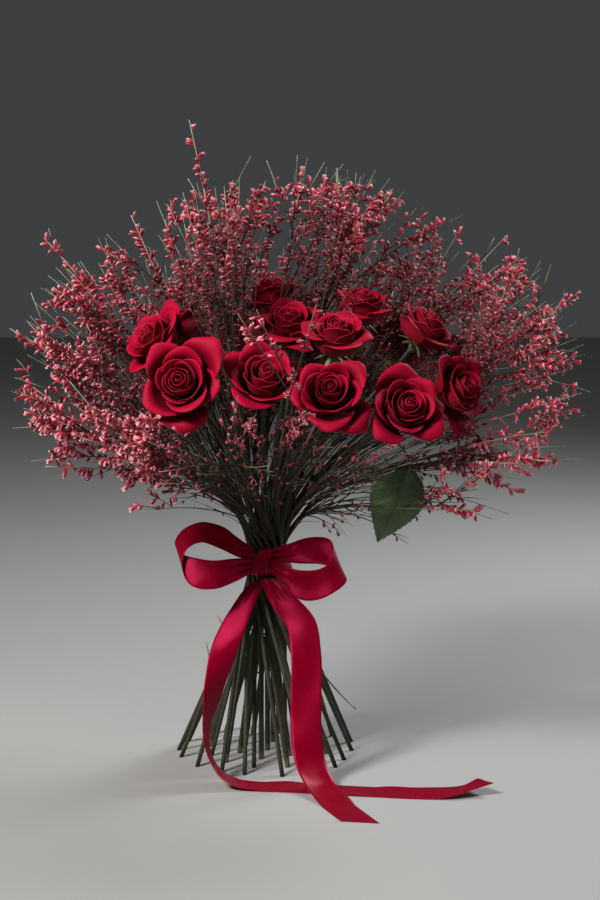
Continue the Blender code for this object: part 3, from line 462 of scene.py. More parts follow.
def fan_faces(first, columns, centre, share, outward):
    """Triangles that close a ring of points on its centre."""
    c = np.arange(columns)
    n = (c + 1) % columns
    order = (c, n) if outward else (n, c)
    faces = np.stack([np.full(columns, centre), first + order[0], first + order[1]], axis=1)
    marks = np.stack([(c + 0.5) / columns, c / columns, (c + 1) / columns], axis=1)
    return faces, np.stack([marks, np.full(marks.shape, share)], axis=2)


def thicken(piece, thickness, offset=0, inner_look=0):
    """Give a sheet its wall; inner_look 1 puts the piece's second material inside and on the rim."""
    skin = piece.modifiers.new("thickness", "SOLIDIFY")
    skin.thickness = thickness
    skin.offset = offset
    skin.material_offset = inner_look
    skin.material_offset_rim = inner_look


def link(thing):
    """Put an object into the scene."""
    bpy.context.scene.collection.objects.link(thing)


class Pile:
    """Gathers many surfaces, each given as whole arrays, and makes one mesh of them."""

    def __init__(self):
        self.points, self.loops, self.sizes = [], [], []
        self.places, self.tones, self.looks = [], [], []
        self.count = 0

    def add(self, points, face_sets, tone=0.5, look=0):
        """Copies of one shape: points (copies, n, 3) and sets of faces with their places."""
        copies, n = points.shape[:2]
        base = self.count + n * np.arange(copies)
        for faces, places in face_sets:
            self.loops.append((faces[None] + base[:, None, None]).reshape(-1))
            self.sizes.append(np.full(copies * len(faces), faces.shape[1]))
            self.places.append(np.tile(places.reshape(-1, 2), (copies, 1)))
            self.looks.append(np.full(copies * len(faces), look))
        self.points.append(points.reshape(-1, 3))
        tones = np.broadcast_to(np.asarray(tone, float).reshape(-1, 1), (copies, n))
        self.tones.append(tones.reshape(-1))
        self.count += copies * n

    def build(self, name, looks, nodes):
        """Make the object, give it its materials and let it stand for its solids."""
        mesh = bpy.data.meshes.new(name)
        points = np.concatenate(self.points).astype(np.float32)
        loops = np.concatenate(self.loops).astype(np.int32)
        sizes = np.concatenate(self.sizes)
        mesh.vertices.add(len(points))
        mesh.vertices.foreach_set("co", points.ravel())
        mesh.loops.add(len(loops))
        mesh.loops.foreach_set("vertex_index", loops)
        mesh.polygons.add(len(sizes))
        starts = np.concatenate([[0], np.cumsum(sizes)[:-1]]).astype(np.int32)
        mesh.polygons.foreach_set("loop_start", starts)
        mesh.polygons.foreach_set("material_index", np.concatenate(self.looks).astype(np.int32))
        mesh.update(calc_edges=True)
        layer = mesh.uv_layers.new(name="surface")
        layer.data.foreach_set("uv", np.concatenate(self.places).astype(np.float32).ravel())
        mark = mesh.attributes.new("tone", "FLOAT", "POINT")
        mark.data.foreach_set("value", np.concatenate(self.tones).astype(np.float32))
        mesh.shade_smooth()
        for look in looks:
            mesh.materials.append(look)
        piece = bpy.data.objects.new(name, mesh)
        link(piece)
        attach(piece, "root")
        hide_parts(*nodes)
        return piece


def tube_frames(paths, side=None):
    """Direction, side and top of each point of each path."""
    along = units(np.gradient(paths, axis=1))
    if side is None:
        reach = np.abs(paths[:, -1] - paths[:, 0])
        side = np.eye(3)[np.argmin(reach, axis=1)][:, None]
        side = np.cross(along, side)
    side = units(side - along * np.sum(side * along, axis=-1, keepdims=True))
    return along, side, np.cross(along, side)


def tubes(paths, wide, thick, sides, side=None, flat_foot=False):
    """Closed tubes: at each path point stands an oval, wide along side and thick along top."""
    along, side, top = tube_frames(paths, side)
    copies, steps = paths.shape[:2]
    wide = np.broadcast_to(wide, (copies, steps))[:, :, None, None]
    thick = np.broadcast_to(thick, (copies, steps))[:, :, None, None]
    turn = 2 * math.pi * np.arange(sides) / sides
    ring = (
        paths[:, :, None]
        + wide * np.cos(turn)[:, None] * side[:, :, None]
        + thick * np.sin(turn)[:, None] * top[:, :, None]
    )
    if flat_foot:
        down = along[:, :1, None]
        ring[:, :1] -= down * ring[:, :1, :, 2:] / down[..., 2:]
    foot = ring[:, 0].mean(axis=1)[:, None]
    points = np.concatenate([ring.reshape(copies, -1, 3), foot, paths[:, -1:]], axis=1)
    body = steps * sides
    return points, (
        grid_faces(steps, sides, closed=True),
        fan_faces(0, sides, body, 0.0, False),
        fan_faces(body - sides, sides, body + 1, 1.0, True),
    )


# Finishes

class Value:
    """Output of a node that formulas can use: sums and products of it become Math nodes."""

    def __init__(self, tree, socket):
        self.tree = tree
        self.socket = socket

    def math(self, operation, *others):
        """Math node on this value and the others."""
        return node(self.tree, "Math", enumerate((self, *others)), operation=operation)

    def sine(self):
        """Sine of this value."""
        return self.math("SINE")

    def __abs__(self):
        return self.math("ABSOLUTE")

    def __add__(self, other):
        return self.math("ADD", other)

    def __sub__(self, other):
        return self.math("SUBTRACT", other)

    def __mul__(self, other):
        return self.math("MULTIPLY", other)

    def __truediv__(self, other):
        return self.math("DIVIDE", other)

    __radd__ = __add__
    __rmul__ = __mul__


def node(tree, kind, values=(), gives=0, **settings):
    """Add a node and give one output; values pair a socket with a number, colour or value."""
    made = tree.nodes.new("ShaderNode" + kind)
    for key, setting in settings.items():
        setattr(made, key, setting)
    for socket, value in values:
        if isinstance(value, Value):
            tree.links.new(value.socket, made.inputs[socket])
        else:
            made.inputs[socket].default_value = value
    return Value(tree, made.outputs[gives])


def mix(factor, first, second):
    """Colour between two, each a value or its red, green and blue."""
    pair = [part if isinstance(part, Value) else (*part, 1) for part in (first, second)]
    return node(factor.tree, "Mix", [(0, factor), (6, pair[0]), (7, pair[1])], gives=2, data_type="RGBA")


def step_between(value, low, high):
    """Share of the way from low to high, softly, held to 0 and 1."""
    values = [(0, value), (1, low), (2, high)]
    return node(value.tree, "MapRange", values, interpolation_type="SMOOTHSTEP")


def noise(tree, scale, detail=2.0, roughness=0.5):
    """Noise on object coordinates, at a scale in patches a metre."""
    where = node(tree, "TexCoord", gives="Object")
    values = [("Vector", where), ("Scale", scale), ("Detail", detail), ("Roughness", roughness)]
    return node(tree, "TexNoise", values)


def own_map(tree):
    """Share across and share along the piece's own surface."""
    place = node(tree, "UVMap", uv_map="surface")
    return [node(tree, "SeparateXYZ", [(0, place)], gives=part) for part in (0, 1)]


def own_tone(tree):
    """The tone that each petal, twig or floret carries."""
    return node(tree, "Attribute", gives="Fac", attribute_name="tone", attribute_type="GEOMETRY")


def open_group(name, gives, **takes):
    """New node group with its named output and inputs; its tree and the inputs as values."""
    tree = bpy.data.node_groups.new(name, "ShaderNodeTree")
    kind = "NodeSocketFloat"
    for label, number in takes.items():
        socket = tree.interface.new_socket(name=label.replace("_", " "), in_out="INPUT", socket_type=kind)
        socket.default_value = number
    tree.interface.new_socket(name=gives, in_out="OUTPUT", socket_type=kind)
    start = tree.nodes.new("NodeGroupInput")
    return tree, [Value(tree, start.outputs[i]) for i in range(len(takes))]


def close_group(tree, value):
    """The group, with this value as what it puts out."""
    tree.links.new(value.socket, tree.nodes.new("NodeGroupOutput").inputs[0])
    return tree


def mottle_group():
    """Cloudy patches, from 0 to 1, on object coordinates."""
    tree, (scale, contrast) = open_group("mottle", "Patch", Patches_per_metre=60.0, Contrast=1.0)
    spread = (noise(tree, scale, 4.0, 0.6) - 0.5) * contrast
    return close_group(tree, node(tree, "Clamp", [(0, spread + 0.5)]))


def rim_group():
    """Mask that is 1 at the rim and side edges of a sheet, on its own surface map; petals take their painted
    rim highlight from it.
    """
    tree, (top_start, side_start) = open_group("rim", "Mask", Top=0.965, Side=0.97)
    across, along = own_map(tree)
    top = step_between(along, top_start, 1.0)
    side = step_between(abs(2.0 * across - 1.0), side_start, 1.0)
    upper = step_between(along, 0.45, 0.75)
    return close_group(tree, top.math("MAXIMUM", side * upper))


def vein_group():
    """Mask of fine veins that fan out from the root of a sheet."""
    tree, (count, wander) = open_group("veins", "Mask", Veins=26.0, Wander=0.5)
    across, along = own_map(tree)
    fan = (across - 0.5) / (0.6 * along + 0.55)
    where = node(tree, "CombineXYZ", [(0, fan), (1, 0.35 * along)])
    drift = node(tree, "TexNoise", [("Vector", where), ("Scale", 9.0), ("Detail", 3.0)])
    bent = fan * count + drift * (6.0 * wander)
    return close_group(tree, step_between(abs((math.pi * bent).sine()), 0.30, 0.0))


def head_shade_group():
    """Painted shade mask: 1 deep inside the flower head, where shade falls, and 0 towards its domed outline.
    """
    tree, (outer, inner) = open_group("head_shade", "Mask", Outer=0.95, Inner=0.55)
    where = node(tree, "TexCoord", gives="Object")
    centred = node(tree, "VectorMath", [(0, where), (1, DOME_MIDDLE)], operation="SUBTRACT")
    scaled = node(tree, "VectorMath", [(0, centred), (1, DOME_SHARES)], operation="MULTIPLY")
    reach = node(tree, "VectorMath", [(0, scaled)], gives="Value", operation="LENGTH")
    return close_group(tree, step_between(reach, outer, inner))


def placed(tree, group, *values):
    """Put a group into a material with its own values, in the order of the group's inputs."""
    return node(tree, "Group", enumerate(values), node_tree=group)


def new_look(name):
    """New material and its node tree."""
    look = bpy.data.materials.new(name)
    look.use_nodes = True
    return look, look.node_tree


def dressed(look, colour, roughness, height, depth, strength, **fixed):
    """The material, its shader fed with colour, roughness and bump; fixed is the same all over."""
    tree = look.node_tree
    inputs = tree.nodes["Principled BSDF"].inputs
    bump = node(tree, "Bump", [("Height", height), ("Distance", depth), ("Strength", strength)])
    tree.links.new(colour.socket, inputs["Base Color"])
    tree.links.new(roughness.socket, inputs["Roughness"])
    tree.links.new(bump.socket, inputs["Normal"])
    for label, value in fixed.items():
        inputs[label.replace("_", " ")].default_value = value
    return look


# The flower head's dome, shared by the painted shade mask and the broom: its middle, and one over its
# half sizes for the mask
DOME_MIDDLE = (0.033, 0.0, 0.36)
DOME_SHARES = (3.51, 4.42, 4.50)
MOTTLE = mottle_group()
RIM = rim_group()
VEINS = vein_group()
HEAD_SHADE = head_shade_group()
PETAL_RIM_HIGHLIGHT = (0.962, 0.965)    # where the painted rim highlight of a petal starts, along it and across it
PETAL_SHEEN = (1.0, 0.10, 0.16, 1)
WEFT_THREADS = 75             # of the satin, on a length as long as its width
WARP_THREADS = 95             # across its width


def petal_face():
    """Velvety crimson, faint veins, a root darkened as painted shade and a rim paled as a painted highlight.
    """
    look, tree = new_look("rose_petal_face")
    _, along = own_map(tree)
    patch = placed(tree, MOTTLE, 90.0, 1.6)
    # painted shade: the petal darkens strongly towards its root, where shade falls deep in the bloom; tone
    # and mottle vary it at random
    depth = 0.75 * step_between(along, 0.42, 0.96) + 0.22 * own_tone(tree) + 0.22 * patch
    body = mix(depth, (0.028, 0.0001, 0.0015), (0.420, 0.0006, 0.027))
    veins = placed(tree, VEINS, 30.0, 0.5)
    body = mix(0.16 * veins, body, (0.12, 0.0004, 0.008))
    # painted highlight: the rim is paler
    colour = mix(0.50 * placed(tree, RIM, *PETAL_RIM_HIGHLIGHT), body, (0.60, 0.014, 0.065))
    height = 0.35 * (noise(tree, 2600.0) - veins)
    return dressed(
        look, colour, 0.50 + 0.18 * patch, height, 0.00025, 0.6,
        Specular_IOR_Level=0.10, Sheen_Weight=0.06, Sheen_Roughness=0.42, Sheen_Tint=PETAL_SHEEN,
    )


def petal_back():
    """Duller back of a petal, paler towards the root, with veins that show and a painted highlight on the
    rim.
    """
    look, tree = new_look("rose_petal_back")
    _, along = own_map(tree)
    tone = own_tone(tree)
    patch = placed(tree, MOTTLE, 70.0, 1.6)
    body = mix(0.6 * tone + 0.4 * patch, (0.100, 0.0006, 0.006), (0.280, 0.0020, 0.017))
    pale = step_between(along, 0.62, 0.05) * step_between(tone, 0.55, 0.95)
    body = mix(0.85 * pale, body, (0.52, 0.16, 0.17))
    veins = placed(tree, VEINS, 26.0, 0.6)
    body = mix(0.30 * veins, body, (0.20, 0.002, 0.014))
    # painted highlight: the rim is paler
    colour = mix(0.45 * placed(tree, RIM, *PETAL_RIM_HIGHLIGHT), body, (0.50, 0.022, 0.055))
    return dressed(
        look, colour, 0.55 + 0.15 * patch, veins, 0.0002, 0.5,
        Specular_IOR_Level=0.12, Sheen_Weight=0.08, Sheen_Roughness=0.45, Sheen_Tint=PETAL_SHEEN,
    )


def stem_skin():
    """Dark green bark with brown patches, a paler cut end and fine length lines."""
    look, tree = new_look("rose_stem_skin")
    across, along = own_map(tree)
    patch = placed(tree, MOTTLE, 55.0, 2.6)
    fine = placed(tree, MOTTLE, 420.0, 2.2)
    green = mix(fine, (0.007, 0.012, 0.005), (0.026, 0.036, 0.013))
    brown = mix(fine, (0.018, 0.011, 0.005), (0.066, 0.044, 0.020))
    worn = step_between(patch + 0.35 * own_tone(tree), 0.62, 0.98)
    foot = step_between(along, 0.022, 0.004)
    colour = mix(0.6 * foot, mix(worn, green, brown), (0.24, 0.20, 0.10))
    height = 0.25 * (75.0 * across).sine() + fine
    return dressed(look, colour, 0.38 + 0.25 * fine, height, 0.00018, 0.7)


def sepal_green():
    """Hip and sepals: fresh green, streaked along and flushed with red at the tips."""
    look, tree = new_look("hip_and_sepal_green")
    across, along = own_map(tree)
    patch = placed(tree, MOTTLE, 160.0, 2.0)
    colour = mix(patch, (0.045, 0.075, 0.022), (0.120, 0.165, 0.055))
    colour = mix(0.5 * step_between(along, 0.45, 1.0), colour, (0.18, 0.050, 0.030))
    height = 0.4 * (62.0 * across).sine() + patch
    return dressed(look, colour, 0.42 + 0.2 * patch, height, 0.00015, 0.6)


def leaf_green():
    """Glossy dark leaf: pale midrib, side veins that arch to the teeth and a net between them."""
    look, tree = new_look("rose_leaf_green")
    across, along = own_map(tree)
    off = abs(2.0 * across - 1.0)
    arch = 9.0 * along - 2.4 * off.math("POWER", 0.8)
    side_vein = step_between(abs((math.pi * arch).sine()), 0.16, 0.0) * step_between(off, 1.0, 0.6)
    cells = [("Vector", node(tree, "TexCoord", gives="Object")), ("Scale", 620.0)]
    net = node(tree, "TexVoronoi", cells, gives="Distance", feature="DISTANCE_TO_EDGE")
    veins = step_between(off, 0.055, 0.01).math("MAXIMUM", 0.8 * side_vein)
    patch = placed(tree, MOTTLE, 80.0, 1.8)
    body = mix(patch, (0.030, 0.066, 0.022), (0.066, 0.120, 0.040))
    body = mix(0.18 * step_between(net, 0.10, 0.0), body, (0.10, 0.13, 0.05))
    colour = mix(0.65 * veins, body, (0.15, 0.19, 0.075))
    colour = mix(0.35 * step_between(off, 0.93, 1.0), colour, (0.14, 0.07, 0.03))
    return dressed(look, colour, 0.30 + 0.25 * patch, 0.8 * net - veins, 0.0004, 0.8)


def broom_twig():
    """Thin ridged twigs, grey-green to straw, with painted shade low down and deep in the head."""
    look, tree = new_look("broom_twig")
    across, along = own_map(tree)
    patch = placed(tree, MOTTLE, 120.0, 2.4)
    young = mix(patch, (0.120, 0.150, 0.085), (0.420, 0.440, 0.330))
    old = mix(patch, (0.090, 0.060, 0.042), (0.300, 0.240, 0.180))
    age = step_between(own_tone(tree) - 0.25 * along, 0.35, 0.85)
    # painted shade: twigs and stems darken over their lower part, below the head
    low = step_between(along, 0.85, 0.40)
    colour = mix(0.90 * low, mix(age, young, old), (0.016, 0.020, 0.010))
    # painted shade deep inside the flower head
    inside = placed(tree, HEAD_SHADE, 1.00, 0.62)
    colour = mix(0.80 * inside, colour, (0.034, 0.026, 0.016))
    height = (6 * math.pi * across).sine() + patch
    return dressed(look, colour, 0.48 + 0.2 * patch, height, 0.00012, 0.6, Specular_IOR_Level=0.25)


def floret_pink():
    """Dyed floret: brownish calyx, pink-red body, pale lip that is partly its own and partly a painted
    highlight; paler or deeper by its tone, and darker deep in the head as painted shade.
    """
    look, tree = new_look("broom_floret")
    _, along = own_map(tree)
    tone = own_tone(tree)
    patch = placed(tree, MOTTLE, 900.0, 1.8)
    deep = mix(tone, (0.200, 0.0020, 0.014), (0.620, 0.018, 0.062))
    # the pale lip at the tip is partly the floret's own colour and partly a painted highlight
    lip = mix(tone, (0.460, 0.040, 0.080), (0.940, 0.560, 0.610))
    colour = mix(step_between(along + 0.30 * (patch - 0.5), 0.62, 1.05), deep, lip)
    # painted shade deep inside the flower head
    inside = placed(tree, HEAD_SHADE, 0.95, 0.45)
    colour = mix(0.62 * inside, colour, (0.110, 0.0030, 0.012))
    colour = mix(step_between(along, 0.16, 0.02), colour, (0.120, 0.060, 0.035))
    return dressed(
        look, colour, 0.50 + 0.2 * patch, patch, 0.0001, 0.4,
        Specular_IOR_Level=0.2, Sheen_Weight=0.1,
    )


def satin():
    """Double-faced satin: close crossing threads, slow tone changes, firm edges and a painted glint on them.
    """
    look, tree = new_look("ribbon_satin")
    across, along = own_map(tree)
    patch = placed(tree, MOTTLE, 45.0, 1.4)
    edge = step_between(abs(2.0 * across - 1.0), 0.935, 0.96)
    colour = mix(patch, (0.200, 0.0002, 0.011), (0.250, 0.0003, 0.015))
    # painted glint: the colour is paler along both edges
    colour = mix(0.35 * edge, colour, (0.36, 0.003, 0.026))
    weft = (2 * math.pi * WEFT_THREADS * along).sine()
    warp = (2 * math.pi * WARP_THREADS * across).sine()
    return dressed(
        look, colour, 0.27 + 0.06 * patch, 0.6 * weft + 0.4 * warp + 1.5 * edge, 0.00005, 0.35,
        Specular_IOR_Level=0.70, Specular_Tint=(1.0, 0.04, 0.20, 1), Anisotropic=0.55,
        Sheen_Weight=0.10, Sheen_Roughness=0.30, Sheen_Tint=(1.0, 0.03, 0.20, 1),
    )


def jute():
    """Matt two-ply twine of straw-coloured fibres."""
    look, tree = new_look("jute_fibre")
    across, along = own_map(tree)
    patch = placed(tree, MOTTLE, 700.0, 2.2)
    colour = mix(patch, (0.250, 0.175, 0.090), (0.560, 0.440, 0.270))
    fibres = (44.0 * across + 900.0 * along).sine()
    return dressed(look, colour, 0.75 + 0.15 * patch, fibres + patch, 0.0001, 0.8)


PETAL_FACE = petal_face()
PETAL_BACK = petal_back()
STEM_SKIN = stem_skin()
SEPAL_GREEN = sepal_green()
LEAF_GREEN = leaf_green()
BROOM_TWIG = broom_twig()
FLORET_PINK = floret_pink()
SATIN = satin()
JUTE = jute()


# Roses

PETALS = 24                   # petals of one rose, from its heart outwards
PETAL_ROWS = 15
PETAL_COLUMNS = 12
GOLDEN_TURN = math.radians(137.5)
PETAL_THICK = 0.00045
MILLI = 0.001
# How far each rose has opened, and the turn of its heart
ROSE_OPENING = (0.55, 0.60, 0.45, 0.50, 0.62, 0.70, 0.65, 0.60, 0.60, 0.55, 0.72, 0.62, 0.55, 0.60, 0.60)
ROSE_TURN = (0.3, 1.9, 2.6, 0.8, 4.0, 1.2, 5.1, 0.6, 2.2, 3.3, 1.4, 2.0, 0.2, 4.4, 3.7)

# Roses whose petals open a little away from the line of their hip
NODDING = {4: (0.08, -0.70, 0.71), 7: (-0.02, -0.82, 0.57), 10: (0.25, -0.86, 0.45)}


def turned_frame(direction, spin):
    """Rotation matrix whose third column points along the direction."""
    axis = unit(direction)
    helper = np.array((0, 0, 1.0)) if abs(axis[2]) < 0.9 else np.array((1.0, 0, 0))
    side = unit(np.cross(helper, axis))
    other = np.cross(axis, side)
    first = side * math.cos(spin) + other * math.sin(spin)
    second = np.cross(axis, first)
    return np.stack([first, second, axis], axis=1)


def root_slants(runs):
    """Slant at the root that carries a petal this far outwards, for each share of its length."""
    slants = np.linspace(0, 1.75, 60)
    s = np.linspace(0, 1, 80)
    reach = np.mean(np.sin(slants[:, None] * (1 - smooth(s, 0.12, 0.78))), axis=1)
    return np.interp(runs, reach, slants)


def rose_petals(seed, opened, turn, size, down):
    """Points of every petal of a rose, in its own frame with the hip at the origin.

    A petal's line leaves the hip at a slant, stands up as a wall round the heart and curls at its
    rim. Its slant from upright is added up along its length, which gives distance from the axis and
    height. The line is then turned round the axis, by share across times half width over distance,
    and one side edge lies further out than the other, as in a spiral. The outer petals on the side
    that faces down sag, and those above stand out straighter. Lengths are in millimetres until the
    points are put together.
    """
    rng = np.random.default_rng(seed)
    n = np.arange(PETALS)
    grow = (n / (PETALS - 1))[:, None, None]

    def stray(amount):
        return rng.normal(0, amount, (PETALS, 1, 1))

    across = np.linspace(-1, 1, PETAL_COLUMNS)[None, None, :]
    even = np.linspace(0, 1, PETAL_ROWS)[None, :, None]
    up = 0.45 * even + 0.55 * np.sin(math.pi / 2 * even)
    wall = 1.4 + (22.0 + 11.0 * opened) * grow ** (1.25 - 0.2 * opened) * (1 + stray(0.03))
    long = (39.5 - 4.0 * np.sin(math.pi * grow**0.8) + 6.5 * grow**3) * (1 + stray(0.03))
    facing_turn = turn + GOLDEN_TURN * n[:, None, None]
    below = np.cos(facing_turn) * down[0] + np.sin(facing_turn) * down[1]
    sag = smooth(below, 0.0, 0.8) * grow**5
    rise = smooth(-below, 0.0, 0.8) * grow**5
    long = long * (1 + 0.14 * sag + 0.16 * rise)
    root = np.minimum(wall, 2.4 + 1.6 * grow)
    half_width = (10.5 + 13.0 * np.minimum(grow * 1.3, 1)) * (1 + stray(0.07))
    half_turn = np.minimum(half_width / wall, 2.5)

    # the rim drops towards the side edges and comes to a soft point in the middle
    drop = 0.24 + 0.10 * grow + stray(0.02)
    point = (0.02 + 0.08 * grow**2) * np.exp(-((across / 0.30) ** 2))
    share = up * (1 - drop * np.abs(across) ** 2.6 + point * up**6)

    slant = root_slants((wall - root) / long) * (1 - smooth(share, 0.12, 0.78))
    slant = slant + 0.16 * (1 - grow) * np.cos(math.pi * share)
    rim = -0.20 + (0.80 + 0.35 * opened) * grow + (0.75 + 0.8 * opened) * grow**4 + stray(0.22) * grow
    rim = rim * (1 - 0.5 * rise)
    margins = (1.15 + 0.6 * opened) * np.abs(across) ** 1.5 * np.minimum(grow * 1.8, 1)
    margins = margins * (1 + stray(0.25)) * (1 + 0.45 * grow**3)
    start = 0.80 - 0.13 * grow
    slant = slant + (rim + margins) * smooth(share, start, 1.03) + stray(0.035) + stray(0.075) * grow
    slant = slant + (0.80 * sag + 0.45 * rise) * smooth(share, 0.25, 0.90)
    step = np.diff(share, axis=1, prepend=0)
    middle = (slant[:, 1:] + slant[:, :-1]) / 2
    slant_between = np.concatenate([slant[:, :1], middle], axis=1)
    away = root + np.cumsum(long * step * np.sin(slant_between), axis=1)
    high = 0.3 + np.cumsum(long * step * np.cos(slant_between), axis=1)

    lean = 0.45 + 0.55 * grow
    away = away + lean * across * smooth(share, 0, 0.4)
    ripple = stray(1.0) * np.sin(2.3 * across + stray(2.0)) + 0.6 * np.sin(5.1 * across + stray(3.0))
    away = away + 0.60 * grow * ripple * smooth(share, 0.35, 1.0)
    high = high + 0.8 * grow * np.sin(3.7 * across + stray(3.0)) * smooth(share, 0.6, 1.0)
    high = high - 2.2 * (1 - grow) ** 6

    narrow = 0.26 + 0.74 * np.sin(math.pi / 2 * np.minimum(share / 0.60, 1))
    narrow = narrow - 0.16 * smooth(share, 0.80, 1.05)
    angle = facing_turn + stray(0.07) + across * half_turn * narrow
    points = np.stack([away * np.cos(angle), away * np.sin(angle), high], axis=3)
    points = points.reshape(PETALS, PETAL_ROWS * PETAL_COLUMNS, 3) * MILLI * size
    tones = np.clip(0.5 + 0.22 * rng.normal(size=PETALS), 0, 1)
    return points, tones


def rose(i):
    """One rose bloom, standing where its solid stands."""
    _, centre, facing, size = ROSES[i]
    stand = turned_frame(NODDING.get(i, facing), 0)
    points, tones = rose_petals(SEED * 100 + i, ROSE_OPENING[i], ROSE_TURN[i], size, -stand[2])
    points = points @ stand.T + bloom_foot(centre, facing, size)
    pile = Pile()
    pile.add(points, [grid_faces(PETAL_ROWS, PETAL_COLUMNS)], tones)
    looks = [PETAL_BACK, PETAL_FACE]
    piece = pile.build(f"rose_{i + 1:02d}", looks, [f"bloom_{i + 1:02d}"])
    thicken(piece, PETAL_THICK, offset=-1, inner_look=1)


# Rose stems, hips, sepals and the leaf

STEM_STEPS = 60
STEM_SIDES = 10
STEM_NODES = 8                # places where leaves were stripped off
HIP_LONG = 0.0125
SEPALS = 5
SEPAL_STEPS = 9
SEPAL_LONG = 0.0150
SEPAL_WIDE = 0.0034
SEPAL_THICK = 0.00035
THORNS = 4
THORN_LONG = 0.0052
THORN_HOOK = 0.0026


def hip(pile, top, facing):
    """Hip below a bloom: its radius swells with a sine of the share of its length."""
    share = np.linspace(0, 1, 12)
    line = top - facing * (HIP_LONG * (1 - share[:, None]))
    radius = 0.0024 + 0.0026 * np.sin(math.pi * share * 0.86) ** 0.9
    pile.add(*tubes(line[None], radius, radius, 12), tone=0.85, look=1)


def sepals(pile, top, facing, rng):
    """Sepals round the hip: they run outwards and curl down with the share to the power 1.6."""
    stand = turned_frame(facing, rng.uniform(0, 6))
    turn = 2 * math.pi * np.arange(SEPALS) / SEPALS
    outward = np.cos(turn)[:, None] * stand[:, 0] + np.sin(turn)[:, None] * stand[:, 1]
    s = np.linspace(0, 1, SEPAL_STEPS)[None, :, None]
    reach = rng.uniform(0.8, 1.15, (SEPALS, 1, 1))
    curl = rng.uniform(0.4, 1.3, (SEPALS, 1, 1))
    paths = (
        top - facing * 0.0028
        + outward[:, None] * (0.0030 + SEPAL_LONG * s * reach)
        - facing * (0.0135 * s**1.6 * curl - 0.0040 * s)
    )
    wide = SEPAL_WIDE * (1 - s[:, :, 0]) ** 0.75 * (0.55 + 1.4 * s[:, :, 0]) + 0.0002
    side = np.cross(facing, outward)[:, None]
    pile.add(*tubes(paths, wide, SEPAL_THICK, 6, side=side), tone=0.7, look=1)


def thorns(pile, line, rng):
    """Thorns: flat spikes that stand off the stem and hook downwards with the square of the share."""
    place = np.sort(rng.integers(8, STEM_STEPS - 14, THORNS))
    along, side, height = (part[0, place] for part in tube_frames(line[None]))
    spin = rng.uniform(0, 2 * math.pi, (THORNS, 1))
    outward = np.cos(spin) * side + np.sin(spin) * height
    s = np.linspace(0, 1, 5)[None, :, None]
    paths = line[place][:, None] + outward[:, None] * (0.0020 + THORN_LONG * s)
    paths = paths - along[:, None] * THORN_HOOK * s**2
    taper = (1 - s[:, :, 0]) ** 1.3
    thin, deep = 0.0006 * taper + 0.00006, 0.0017 * taper + 0.00006
    pile.add(*tubes(paths, thin, deep, 6, side=np.cross(outward, along)[:, None]), tone=0.2)


def rose_stem(i):
    """Stem with its leaf nodes, hip, sepals and small thorns.

    Its radius swells at each node by a bell curve and shrinks softly over its upper half.
    """
    rng = np.random.default_rng(SEED * 200 + i)
    facing = unit(ROSES[i][2])
    line = stem_line(i, STEM_STEPS)
    share = np.linspace(0, 1, STEM_STEPS)
    nodes = rng.uniform(0.05, 0.16) + np.cumsum(rng.uniform(0.11, 0.17, STEM_NODES))
    swell = np.sum(np.exp(-(((share[:, None] - nodes) / 0.009) ** 2)), axis=1)
    radius = ROSE_STEM_RADIUS * (0.97 + 0.16 * swell - 0.10 * smooth(share, 0.5, 0.95))
    pile = Pile()
    pile.add(*tubes(line[None], radius, radius, STEM_SIDES, flat_foot=True), tone=rng.uniform())
    hip(pile, line[-1], facing)
    sepals(pile, line[-1], facing, rng)
    thorns(pile, line, rng)
    name = f"rose_stem_and_hip_{i + 1:02d}"
    pile.build(name, [STEM_SKIN, SEPAL_GREEN], [f"rose_stem_{i + 1:02d}"])


LEAF_ROWS = 97
LEAF_COLUMNS = 25
LEAF_TEETH = 16
LEAF_THICK = 0.0004
LEAF_SIDE_VEINS = 9
LEAF_FOLD = 0.0060            # rise of its edges above the midrib
LEAF_SAG = 0.0070             # of its middle
STALK_STEPS = 48


